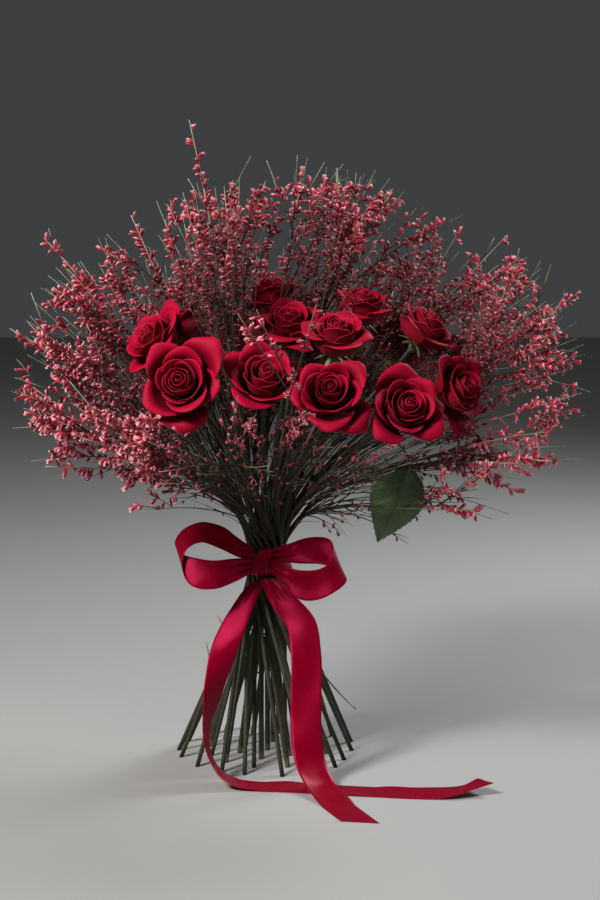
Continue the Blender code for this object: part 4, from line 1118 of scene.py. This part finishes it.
def rose_leaf():
    """Toothed blade that hangs from its stalk.

    Half its width is a sine of the share along it, drawn towards the base; saw teeth stand out at
    the margin; the blade folds up from its midrib, sags along its length and quilts between veins.
    """
    across = np.linspace(-1, 1, LEAF_COLUMNS)[None, :]
    up = np.linspace(0, 1, LEAF_ROWS)[:, None]
    line = LEAF_TIP - LEAF_BASE
    side = unit(np.cross(line, (0, 1, 0)))
    outward = unit(np.cross(side, line))
    off = np.abs(across)
    half = LEAF_WIDTH / 2 * 1.06 * np.sin(math.pi * (0.02 + 0.98 * up) ** 0.70) ** 1.02 + 0.0003
    saw = (up * LEAF_TEETH) % 1.0
    margin = smooth(off, 0.80, 1.0)
    tooth = 0.0009 * (saw - 0.35) * margin * smooth(up, 0.02, 0.12) * (1 - smooth(up, 0.93, 1.0))
    quilt = np.sin(2 * math.pi * (up * LEAF_SIDE_VEINS - 2.4 * off)) * np.sin(math.pi * off)
    lift = LEAF_FOLD * off**1.3 - LEAF_SAG * np.sin(math.pi * up)
    lift = lift + 0.00035 * quilt + 0.0012 * np.sin(7 * up + 2 * across) * off
    reach = across * half + np.sign(across) * tooth
    slide = 0.0006 * margin * saw
    points = LEAF_BASE + line * up[:, :, None] + side * reach[:, :, None]
    points = points + outward * lift[:, :, None] + unit(line) * slide[:, :, None]
    pile = Pile()
    pile.add(points.reshape(1, -1, 3), [grid_faces(LEAF_ROWS, LEAF_COLUMNS)])
    thicken(pile.build("rose_leaf", [LEAF_GREEN], ["rose_stem_11"]), LEAF_THICK)

    route = PLAN.routes[LEAF_ROSE]
    nearest = route[np.argmin(np.linalg.norm(route - LEAF_BASE, axis=1))]
    bend = (nearest + LEAF_BASE) / 2 + np.array((0, 0, 0.006))
    share = np.array((0.04, 0.35, 0.7, 0.985))[:, None]
    rib = LEAF_BASE + line * share - outward * (LEAF_SAG * np.sin(math.pi * share) + 0.0004)
    stalk = curve_through(np.vstack([nearest, bend, LEAF_BASE - outward * 0.0006, rib]), STALK_STEPS)
    radius = np.linspace(0.0013, 0.0004, STALK_STEPS)
    pile = Pile()
    pile.add(*tubes(stalk[None], radius, radius, 8), tone=0.8)
    pile.build("leaf_stalk", [SEPAL_GREEN], ["rose_stem_11"])


# Broom

# How far the fine shoots of some sprays arch over, in metres at their tips
ARCHED = {2: 0.050, 1: 0.030, 6: 0.02, 12: 0.03}
# Sprays with more and wider spread shoots than the others
FULLER = {2: 1.2, 3: 1.7, 15: 1.5, 16: 1.8, 13: 1.2, 17: 1.8, 18: 1.3, 20: 1.2}
# Thin twigs below the binding: their spray, height share on it, reach and further bend in metres
LOW_TWIGS = (
    (6, 0.45, (0.056, -0.010, -0.073), (-0.012, -0.004, 0.026)),
    (13, 0.25, (0.006, 0.0, 0.040), (-0.010, 0.0, 0.012)),
    (13, 0.46, (0.004, 0.0, 0.024), (-0.016, 0.0, 0.012)),
)
BETWEEN_ROSES = 9             # the spray whose tip stands before the front roses
LONG_SHOOTS = 7               # shoots of one spray that part from it just above the binding
SHOOTS = 17                   # and those that leave it within the head
NECK_TWIGS = 4
SPRAY_STEPS = 42
SPRAY_SIDES = 7
UPPER_STEPS = 40              # points of the line that shoots follow, from the binding to the tip
LEADER_STEPS = 16             # the last of them, where florets sit on the stem itself
SHOOT_STEPS = 9
TWIG_WANDER = 0.0032
FLORET_SPACING = 0.0040
FLORET_LONG = 0.0102
FLORET_WIDE = 0.0020
CLUMP_SHARE = 0.70            # share of the places for a clump that hold one
# Share of the face of each front rose, and of the leaf, that the broom leaves open
OPEN_SHARE = 0.92
OPEN_FACES = {i: OPEN_SHARE for i in (0, 1, 2, 4, 7, 8, 9, 10, 11)}
OPEN_FACES[1] = 0.55
VIEWER = np.array((0.0, -0.995, 0.10))
DOME_ACROSS = 0.285           # half sizes of the flower head's dome
DOME_DEEP = 0.226
DOME_ABOVE = 0.222
DOME_BELOW = 0.150


def dome(points):
    """1 on the domed outline of the flower head and less inside it."""
    x, y, z = np.moveaxis(points - np.array(DOME_MIDDLE), -1, 0)
    tall = np.where(z > 0, DOME_ABOVE, DOME_BELOW)
    return np.sqrt((x / DOME_ACROSS) ** 2 + (y / DOME_DEEP) ** 2 + (z / tall) ** 2)


def before_a_rose(points):
    """True for points that stand in front of a front rose or of the leaf."""
    balls = np.vstack([PLAN.balls[list(OPEN_FACES)], np.array(LEAF_SPACE)])
    share = np.append(list(OPEN_FACES.values()), np.full(len(LEAF_SPACE), OPEN_SHARE))
    gap = points[..., None, :] - balls[:, :3]
    ahead = np.sum(gap * VIEWER, axis=-1)
    aside = np.linalg.norm(gap - ahead[..., None] * VIEWER, axis=-1)
    return np.any((ahead > 0) & (aside < balls[:, 3] * share), axis=-1)


def drawn_back(paths, outside):
    """The same paths, each ended where its points first lie outside."""
    last = np.where(outside.any(axis=1), np.argmax(outside, axis=1), paths.shape[1] - 1)
    last = np.maximum(last, 2)
    place = np.linspace(0, 1, paths.shape[1]) * last[:, None]
    return at_places(paths, np.arange(len(paths))[:, None], place)[0]


def clear_of_roses(paths):
    """True where no point of a path lies inside a rose."""
    balls = PLAN.balls[: len(ROSES)]
    distance = np.linalg.norm(paths[:, :, None] - balls[None, None, :, :3], axis=3)
    return np.all(distance > balls[None, None, :, 3] * 0.93, axis=(1, 2))


def shoots_along(line, rng, count, start, reach, spread, bend=0.0):
    """Shoots that run beside a line and part from it: the gap grows as the share to the power 1.4.

    Past the line's end they run straight on. Eight times as many are drawn as are wanted, and the
    first ones that stay in the dome and clear of the roses are kept.
    """
    draws = count * 8
    s = np.linspace(0, 1, SHOOT_STEPS)[None]
    first = rng.uniform(start[0], start[1], (draws, 1))
    last = np.minimum(first + rng.uniform(reach[0], reach[1], (draws, 1)), 1.12)
    base = at_places(line[None], 0, (first + (last - first) * s) * (len(line) - 1))[0]
    along = units(base[:, -1] - base[:, 0])
    side = units(np.cross(along, rng.normal(size=(draws, 3))))
    other = np.cross(along, side)
    gap = rng.uniform(spread[0], spread[1], (draws, 1, 1)) * s[..., None] ** 1.4
    sway = rng.uniform(-0.5, 0.5, (draws, 1, 1)) * gap * s[..., None]
    rise = rng.uniform(-0.006, 0.016, (draws, 1, 1)) * s[..., None] ** 2
    arch = bend * s[..., None] ** 2.5 * np.array((0.8, 0, -0.6))
    waves = rng.uniform(2.0, 7.5, (draws, 1, 1)) * s[..., None] + rng.uniform(0, 6, (draws, 1, 1))
    kinks = TWIG_WANDER * np.sin(waves) * s[..., None] ** 0.7
    paths = base + side[:, None] * gap + other[:, None] * (sway + kinks) + rise * UP + arch
    good = (dome(paths[:, -1]) < 1.05) & clear_of_roses(paths[:, 1:])
    good &= ~np.any(before_a_rose(paths), axis=1)
    return paths[good][:count]


def side_twigs(paths, rng, each, low, high, short, long, spread):
    """Short twigs on each path, at a slant of spread to it and bent towards it again."""
    owner = np.repeat(np.arange(len(paths)), each)
    share = rng.uniform(low, high, len(owner))
    root, step = at_places(paths, owner, share * (paths.shape[1] - 1))
    along = units(step)
    side = units(np.cross(along, rng.normal(size=(len(owner), 3))))
    reach = rng.uniform(short, long, (len(owner), 1, 1))
    slant = rng.uniform(spread[0], spread[1], (len(owner), 1, 1))
    s = np.linspace(0, 1, 6)[None, :, None]
    twigs = root[:, None] + reach * (along[:, None] * s + side[:, None] * slant * (s - 0.35 * s**2))
    keep = (dome(twigs[:, -1]) < 1.03) & ~np.any(before_a_rose(twigs), axis=1) & clear_of_roses(twigs)
    return twigs[keep]


def floret_roots(paths, rng, low, high, spacing):
    """Places along the paths where florets sit in little clumps, with the direction of the twig."""
    reach = np.linalg.norm(np.diff(paths, axis=1), axis=2).sum(axis=1) * (high - low)
    counts = np.maximum((reach / spacing).astype(int), 1)
    owner = np.repeat(np.arange(len(paths)), counts)
    order = np.arange(len(owner)) - np.repeat(np.cumsum(counts) - counts, counts)
    share = low + (high - low) * (order + rng.uniform(0.1, 0.9, len(owner))) / counts[owner]
    roots, step = at_places(paths, owner, share * (paths.shape[1] - 1))
    clump = rng.uniform(size=(len(paths), counts.max() // 3 + 1))[owner, order // 3]
    full = clump < CLUMP_SHARE
    return roots[full], units(step)[full]


def florets(pile, roots, along, rng, shade):
    """Pea-shaped florets: a slim calyx and a long swollen keel in one tube, and a banner petal.

    The tube runs along the floret and sags with the square of the share. The banner is a hood of
    three points by three: its half width is a sine of the share and it rises towards its tip. Florets
    grow from 0.58 of full size inside the head to full size near its outline, and are smaller and
    darker where shade is 1; their tones carry painted shade, darker deep in the head and paler near
    the outline.
    """
    count = len(roots)
    side = units(np.cross(along, rng.normal(size=(count, 3))))
    hang = -UP * rng.uniform(0.0, 0.75, (count, 1))
    direction = units(along * rng.uniform(0.5, 1.7, (count, 1)) + side + hang)
    across = units(np.cross(direction, along))
    top = np.cross(direction, across)
    outer = (smooth(dome(roots), 0.45, 0.95) * (1 - shade))[:, None, None]
    scale = rng.uniform(0.78, 1.12, (count, 1, 1)) * (0.58 + 0.44 * outer)
    long, broad = FLORET_LONG * scale, FLORET_WIDE * scale
    s = np.array((0.0, 0.16, 0.50, 0.88))[None, :, None]
    sag = rng.uniform(-0.20, 0.25, (count, 1, 1))
    paths = roots[:, None] + long * (direction[:, None] * s + top[:, None] * sag * s**2)
    wide = broad[:, :, 0] * np.array((0.20, 0.42, 0.92, 0.45))
    deep = broad[:, :, 0] * np.array((0.20, 0.46, 0.80, 0.34))
    # painted shade: tones are darker where shade is 1 and deep in the head, paler near the outline
    tones = np.clip(rng.beta(1.5, 1.7, count) * (0.75 - 0.4 * shade) + 0.30 * outer[:, 0, 0], 0, 1)
    pile.add(*tubes(paths, wide, deep, 4, side=across[:, None]), tone=tones, look=1)

    open_share = rng.uniform(0.0, 1.0, (count, 1, 1)) ** 2
    v = np.array((0.0, 0.5, 1.0))[None, :, None]
    u = np.array((-1.0, 0.0, 1.0))[None, None, :]
    width = broad * (0.35 + 0.85 * np.sin(math.pi * 0.66 * v)) * u
    run = 0.16 + 0.84 * v
    rise = broad * (0.55 + 1.5 * open_share * v**1.5 + 0.45 * np.sin(math.pi * v) - 0.55 * np.abs(u))
    banner = (
        roots[:, None, None]
        + across[:, None, None] * width[..., None]
        + direction[:, None, None] * (long * run)[..., None]
        + top[:, None, None] * (rise + long * sag * run**2)[..., None]
    )
    pile.add(banner.reshape(count, 9, 3), [grid_faces(3, 3)], tones, look=1)


def side_twigs_of_plan(k):
    """Side twigs of a spray as the plan has them: parabolas through their three points, shortened."""
    s = np.linspace(0, 1, SHOOT_STEPS)[:, None]
    twigs = np.array([
        twig[0] * (1 - s) * (1 - 2 * s) + twig[1] * 4 * s * (1 - s) + twig[2] * s * (2 * s - 1)
        for twig in PLAN.twigs[k]
    ])
    twigs = drawn_back(twigs, dome(twigs) > 1.04)
    if k != BETWEEN_ROSES:
        twigs = drawn_back(twigs, before_a_rose(twigs))
    return twigs


def low_twigs(pile, k, line_foot, line_top):
    """Thin bare twigs of a spray below the binding, bent with the square of the share."""
    s = np.linspace(0, 1, SHOOT_STEPS)[:, None]
    for owner, start, reach, droop in LOW_TWIGS:
        if owner == k:
            root = line_foot + (line_top - line_foot) * start
            path = root + np.array(reach) * s + np.array(droop) * s**2
            pile.add(*tubes(path[None], 0.0008, 0.0008, 5), tone=0.3)


def spray(k):
    """One stem of broom: main stem, its side twigs, fine shoots and their florets.

    The main stem's radius shrinks in two soft steps, a twig's evenly to 0.4 of what it is at its root.
    """
    rng = np.random.default_rng(SEED * 300 + k)
    i = len(ROSES) + k
    line = stem_line(i, SPRAY_STEPS)
    share = np.linspace(0, 1, SPRAY_STEPS)
    radius = SPRAY_STEM_RADIUS * (0.96 - 0.40 * smooth(share, 0.33, 0.52) - 0.34 * smooth(share, 0.5, 1.0))
    pile = Pile()
    pile.add(*tubes(line[None], radius, radius, SPRAY_SIDES, flat_foot=True), tone=rng.uniform())

    upper = curve_through(PLAN.routes[i], UPPER_STEPS)
    twigs = side_twigs_of_plan(k)
    bend = ARCHED.get(k, 0.0)
    full = FULLER.get(k, 1.0)
    wide = (0.012, 0.060 * full)
    long = shoots_along(upper, rng, LONG_SHOOTS, (0.0, 0.10), (0.60, 1.08), wide, bend)
    wide = (0.010, 0.062 * full)
    shoots = shoots_along(upper, rng, int(SHOOTS * full), (0.12, 0.75), (0.30, 0.75), wide, bend)
    neck = shoots_along(upper, rng, NECK_TWIGS, (0.0, 0.22), (0.16, 0.36), (0.006, 0.030))
    from_twigs = side_twigs(twigs, rng, 4, 0.15, 0.85, 0.025, 0.060, (0.15, 0.6))
    branches = np.concatenate([long, shoots])
    small = side_twigs(branches, rng, 3, 0.35, 0.92, 0.014, 0.042, (0.20, 0.75))
    leader = curve_through(upper[-LEADER_STEPS:], LEADER_STEPS + 1)[None]

    # kinds of twig: paths, radius at the root and sides
    kinds = (
        (twigs, 0.0010, 6), (long, 0.0008, 5), (shoots, 0.0007, 4),
        (neck, 0.0005, 3), (from_twigs, 0.0006, 3), (small, 0.0005, 3),
    )
    for paths, thick, sides in kinds:
        if len(paths):
            taper = thick * np.linspace(1, 0.40, paths.shape[1])
            pile.add(*tubes(paths, taper, taper, sides), tone=rng.uniform(0, 1, len(paths)))
    low_twigs(pile, k, PLAN.feet[i], PLAN.routes[i][0])

    # where florets sit: paths, the shares where they begin and end, and how thinly they are spread
    bare = rng.uniform(0.82, 0.98)
    groups = (
        (long, 0.38, bare, 1.0),
        (shoots, 0.28, bare, 1.0),
        (twigs, 0.35, 0.95, 1.0),
        (from_twigs, 0.20, 0.95, 1.0),
        (small, 0.15, 0.98, 0.9),
        (neck, 0.40, 1.00, 2.0),
        (leader, 0.15, 0.97, 0.7),
    )
    placed_florets = [
        floret_roots(paths, rng, low, high, FLORET_SPACING * thin)
        for paths, low, high, thin in groups if len(paths)
    ]
    roots, along = (np.concatenate(part) for part in zip(*placed_florets))
    # neck_share marks the neck below the head: fewer florets there, and painted shade through darker tones
    middle = 1 - smooth(np.abs(roots[:, 0] - HEAD_CENTRE[0]), 0.09, 0.15)
    neck_share = middle * (1 - smooth(roots[:, 2], 0.31, 0.38))
    reach = dome(roots)
    chance = (0.62 + 0.38 * smooth(reach, 0.35, 0.80)) * (1 - 0.92 * neck_share)
    on_leader = np.arange(len(roots)) >= len(roots) - len(placed_florets[-1][0])
    kept = ((reach < 0.97) | on_leader) & (rng.uniform(size=len(roots)) < chance)
    if k != BETWEEN_ROSES:
        kept &= ~before_a_rose(roots)
    florets(pile, roots[kept], along[kept], rng, neck_share[kept])
    pile.build(f"broom_{k + 1:02d}", [BROOM_TWIG, FLORET_PINK], [f"spray_{k + 1:02d}"])


# Ribbon and twine

RIBBON_COLUMNS = 13
RIBBON_STEPS_PER_CM = 5
RIBBON_THICK = 0.0005
PLEAT_HEIGHT = 0.0050
EDGE_TURN = 0.0006            # how far an edge of the ribbon turns out of its plane
FREE_END_SHARE = 0.72         # a free end is spread at least this wide
KNOT_HALF = (0.0074, 0.0060, 0.0128)    # half its width, depth and height
PLY_PITCH = 0.0042            # length in which a strand of the twine goes once round the other


def satin_sheet(node_name, points, faces, places, widths_long):
    """Satin piece that stands for a node; its weave is as fine along it as across it."""
    places[:, :, 1] *= widths_long
    pile = Pile()
    pile.add(points.reshape(1, -1, 3), [(faces, places)])
    piece = pile.build("satin_" + node_name, [SATIN], [node_name])
    thicken(piece, RIBBON_THICK)
    return piece


def ribbon(name, path, seed, slant=0.0, free_end=False):
    """Satin ribbon along a path.

    The middle line and the direction of the width run smoothly through the path's rows. Where the
    width share is small the cloth is gathered, so pleats stand off it; elsewhere it carries slow
    waves and its two edges turn slightly.
    """
    rows = np.array(path, float)
    rows[:, 3:6] = units(rows[:, 3:6])
    length = np.linalg.norm(np.diff(rows[:, :3], axis=0), axis=1).sum()
    steps = int(length * 100 * RIBBON_STEPS_PER_CM)
    fine = curve_through(rows, steps)
    across = np.linspace(-1, 1, RIBBON_COLUMNS)[None, :]
    along = units(np.gradient(fine[:, :3], axis=0))
    width = units(fine[:, 3:6])
    normal = np.cross(along, width)
    run = np.linspace(0, length, steps)[:, None]
    share = np.clip(fine[:, 6:7], 0.3, 1.0)
    if free_end:
        share = np.where(run > length / 2, np.maximum(share, FREE_END_SHARE), share)
    from_knot = run if free_end else np.minimum(run, length - run)
    tight = 1 - smooth(from_knot, 0.006, 0.034)
    pleats = tight * np.sin(2.6 * math.pi * across + 0.6 + seed) - (1 - tight) * 0.9 * across**2
    pleat = PLEAT_HEIGHT * np.sqrt(np.maximum(1 - share**2, 0)) * pleats
    if free_end:
        pleat = pleat * (1 - smooth(run, 0.03, 0.09))
    fade = smooth(run, 0, 0.02)
    if not free_end:
        fade = fade * (1 - smooth(run, length - 0.02, length))
    waves = 0.0008 * np.sin(58 * run + 1.6 * across + seed)
    waves = waves + 0.0003 * np.sin(130 * run - 2.1 * across + 2 * seed)
    edge = EDGE_TURN * np.abs(across) ** 6 * np.sin(45 * run + seed)
    off = pleat * (0.55 + 0.45 * fade) + (waves + edge) * fade
    points = fine[:, None, :3] + width[:, None] * (across * share * RIBBON_WIDTH / 2)[:, :, None]
    points = points + normal[:, None] * off[:, :, None]
    points = points + along[:, None] * (across * slant * smooth(run, length - 0.03, length))[:, :, None]
    points[..., 2] = np.maximum(points[..., 2], RIBBON_THICK * 0.55)
    piece = satin_sheet(name, points, *grid_faces(steps, RIBBON_COLUMNS), length / RIBBON_WIDTH)


def twine_middle_radius():
    """Radius of the twine's turns round the outer stems."""
    middle = RING_THREE + SPRAY_STEM_RADIUS + 1.5 * SEAT_GAP + TWINE_RADIUS
    return middle / math.cos(math.pi / TWINE_SIDES)


def wrap_inner_radius():
    """Inside of the ribbon round the binding."""
    return (twine_middle_radius() + TWINE_RADIUS + SEAT_GAP) / math.cos(math.pi / WRAP_SIDES)


def wrap():
    """Ribbon round the binding: a closed band.

    Its radius is the binding's plus two sines of the height, each shifted by a sine of the turn, so
    the folds run slantwise; the rims draw in with the sixth power of the height.
    """
    rows, columns = 25, 120
    z = np.linspace(-1, 1, rows)[:, None]
    turn = 2 * math.pi * np.arange(columns)[None, :] / columns
    folds = 0.00075 * np.sin(9.0 * z + 1.3 * np.sin(turn + 0.7))
    folds = folds + 0.00035 * np.sin(17 * z + 2 * np.sin(2 * turn))
    radius = wrap_inner_radius() + 0.0013 + folds - 0.0006 * z**6
    points = np.stack([
        radius * np.cos(turn), radius * np.sin(turn),
        BINDING_HEIGHT + WRAP_HEIGHT / 2 * z + 0.0006 * np.sin(2 * turn),
    ], axis=2)
    faces, places = grid_faces(rows, columns, closed=True)
    places = places[:, :, ::-1].copy()
    round_it = 2 * math.pi * wrap_inner_radius()
    piece = satin_sheet("ribbon_wrap", points, faces, places, round_it / RIBBON_WIDTH)


def knot():
    """Knot of the bow: the ribbon passes upright round the middle, drawn into pleats.

    Its outline is a superellipse. Pleats stand off it as sines of the share across, shifted by the
    turn, and the sides pinch in with the fifth power of the share across.
    """
    rows, columns = 72, 25
    front = wrap_inner_radius() + RIBBON_THICKNESS + SEAT_GAP
    middle = np.array((-0.004, -front - 0.0065, BINDING_HEIGHT + 0.004))
    turn = 2 * math.pi * np.arange(rows)[:, None] / rows
    across = np.linspace(-1, 1, columns)[None, :]
    squareness = 2.6
    shape = (np.abs(np.cos(turn)) ** squareness + np.abs(np.sin(turn)) ** squareness) ** (-1 / squareness)
    pinch = 1 - 0.30 * np.abs(across) ** 5
    pleats = 0.0013 * np.sin(3.4 * math.pi * across + 0.8 * np.sin(turn))
    pleats = pleats + 0.0003 * np.sin(7 * across + 2 * turn)
    waist = 1 - 0.10 * np.cos(turn) ** 2
    points = np.stack([
        middle[0] + KNOT_HALF[0] * across * waist + 0.0008 * np.sin(2 * turn) + 0.0022 * np.sin(turn),
        middle[1] - (KNOT_HALF[1] + pleats) * np.cos(turn) * shape * pinch,
        middle[2] + (KNOT_HALF[2] + pleats) * np.sin(turn) * shape * pinch + 0.0016 * across,
    ], axis=2)
    faces, places = grid_faces(rows + 1, columns)
    piece = satin_sheet("ribbon_knot", points, faces % (rows * columns), places, 3.0)


def binding_twine():
    """Two-ply twine round the stems: two strands wind round each other along the coil.

    A strand's radius and height are the coil's plus a small circle in the angle of the ply.
    """
    radius = twine_middle_radius()
    pitch = 2 * TWINE_RADIUS + 0.0005
    turns = np.linspace(0, TWINE_TURNS, 420)
    angle = 2 * math.pi * turns
    strands = []
    for side in (0, math.pi):
        ply = 2 * math.pi * turns * radius * 2 * math.pi / PLY_PITCH + side
        out = radius + TWINE_RADIUS * 0.42 * np.cos(ply)
        rise = BINDING_HEIGHT + pitch * (turns - TWINE_TURNS / 2) + TWINE_RADIUS * 0.42 * np.sin(ply)
        strands.append(np.stack([out * np.cos(angle), out * np.sin(angle), rise], axis=1))
    pile = Pile()
    thick = TWINE_RADIUS * 0.56
    pile.add(*tubes(np.array(strands), thick, thick, 8, side=UP[None, None]))
    pile.build("jute_twine", [JUTE], ["binding_twine"])


# Camera, light and floor

CAMERA_PLACE = (0.033, -1.85, 0.55)
CAMERA_PITCH = math.radians(82.55)
LENS = 74.8
FLOOR_HALF = 6.0
# Each soft light: name, place, target, side in metres, watts and colour
LIGHTS = (
    ("key", (-0.95, -0.95, 1.35), (0.0, 0.0, 0.36), 0.40, 38.0, (1.0, 0.97, 0.93)),
    ("back", (1.15, 0.95, 1.45), (0.05, 0.0, 0.42), 0.60, 30.0, (0.94, 0.97, 1.0)),
    ("fill", (1.4, -1.3, 0.9), (0.0, 0.0, 0.30), 1.2, 2.5, (0.97, 0.98, 1.0)),
)


def set_camera():
    """The photograph's view: a little above the bow, pitched down, with a long lens."""
    lens = bpy.data.cameras.new("photo_view")
    lens.sensor_width = 36.0
    lens.lens = LENS
    camera = bpy.data.objects.new("photo_view", lens)
    camera.location = CAMERA_PLACE
    camera.rotation_euler = Euler((CAMERA_PITCH, 0, 0))
    link(camera)
    bpy.context.scene.camera = camera
    bpy.context.scene.view_settings.view_transform = "Standard"


def area_light(name, place, target, size, power, colour):
    """Soft square light that faces its target."""
    lamp = bpy.data.lights.new(name, "AREA")
    lamp.shape = "SQUARE"
    lamp.size = size
    lamp.energy = power
    lamp.color = colour
    thing = bpy.data.objects.new(name, lamp)
    thing.location = place
    thing.rotation_euler = (Vector(target) - Vector(place)).to_track_quat("-Z", "Y").to_euler()
    link(thing)


def set_stage():
    """Plain pale floor, a pale surround and the soft lights."""
    look, tree = new_look("studio_floor")
    colour = mix(placed(tree, MOTTLE, 3.0, 0.6), (0.34, 0.34, 0.335), (0.39, 0.39, 0.385))
    inputs = tree.nodes["Principled BSDF"].inputs
    tree.links.new(colour.socket, inputs["Base Color"])
    inputs["Roughness"].default_value = 0.75
    mesh = bpy.data.meshes.new("studio_floor")
    corners = [(x * FLOOR_HALF, y * FLOOR_HALF, 0) for x, y in ((-1, -1), (1, -1), (1, 1), (-1, 1))]
    mesh.from_pydata(corners, [], [(0, 1, 2, 3)])
    mesh.materials.append(look)
    floor = bpy.data.objects.new("studio_floor", mesh)
    link(floor)

    world = bpy.data.worlds.new("studio")
    world.use_nodes = True
    background = world.node_tree.nodes["Background"].inputs
    background["Color"].default_value = (0.80, 0.82, 0.85, 1)
    background["Strength"].default_value = 0.06
    bpy.context.scene.world = world
    for light in LIGHTS:
        area_light(*light)


# The whole bouquet

PLAN = Bouquet()
set_camera()
set_stage()
for index in range(len(ROSES)):
    rose(index)
    rose_stem(index)
rose_leaf()
for index in range(len(SPRAYS)):
    spray(index)
wrap()
knot()
ribbon("loop_left", LOOP_LEFT_PATH, seed=1)
ribbon("loop_right", LOOP_RIGHT_PATH, seed=2)
ribbon("tail_left", TAIL_LEFT_PATH, seed=3, slant=-0.006, free_end=True)
ribbon("tail_right", TAIL_RIGHT_PATH, seed=4, slant=0.008, free_end=True)
binding_twine()
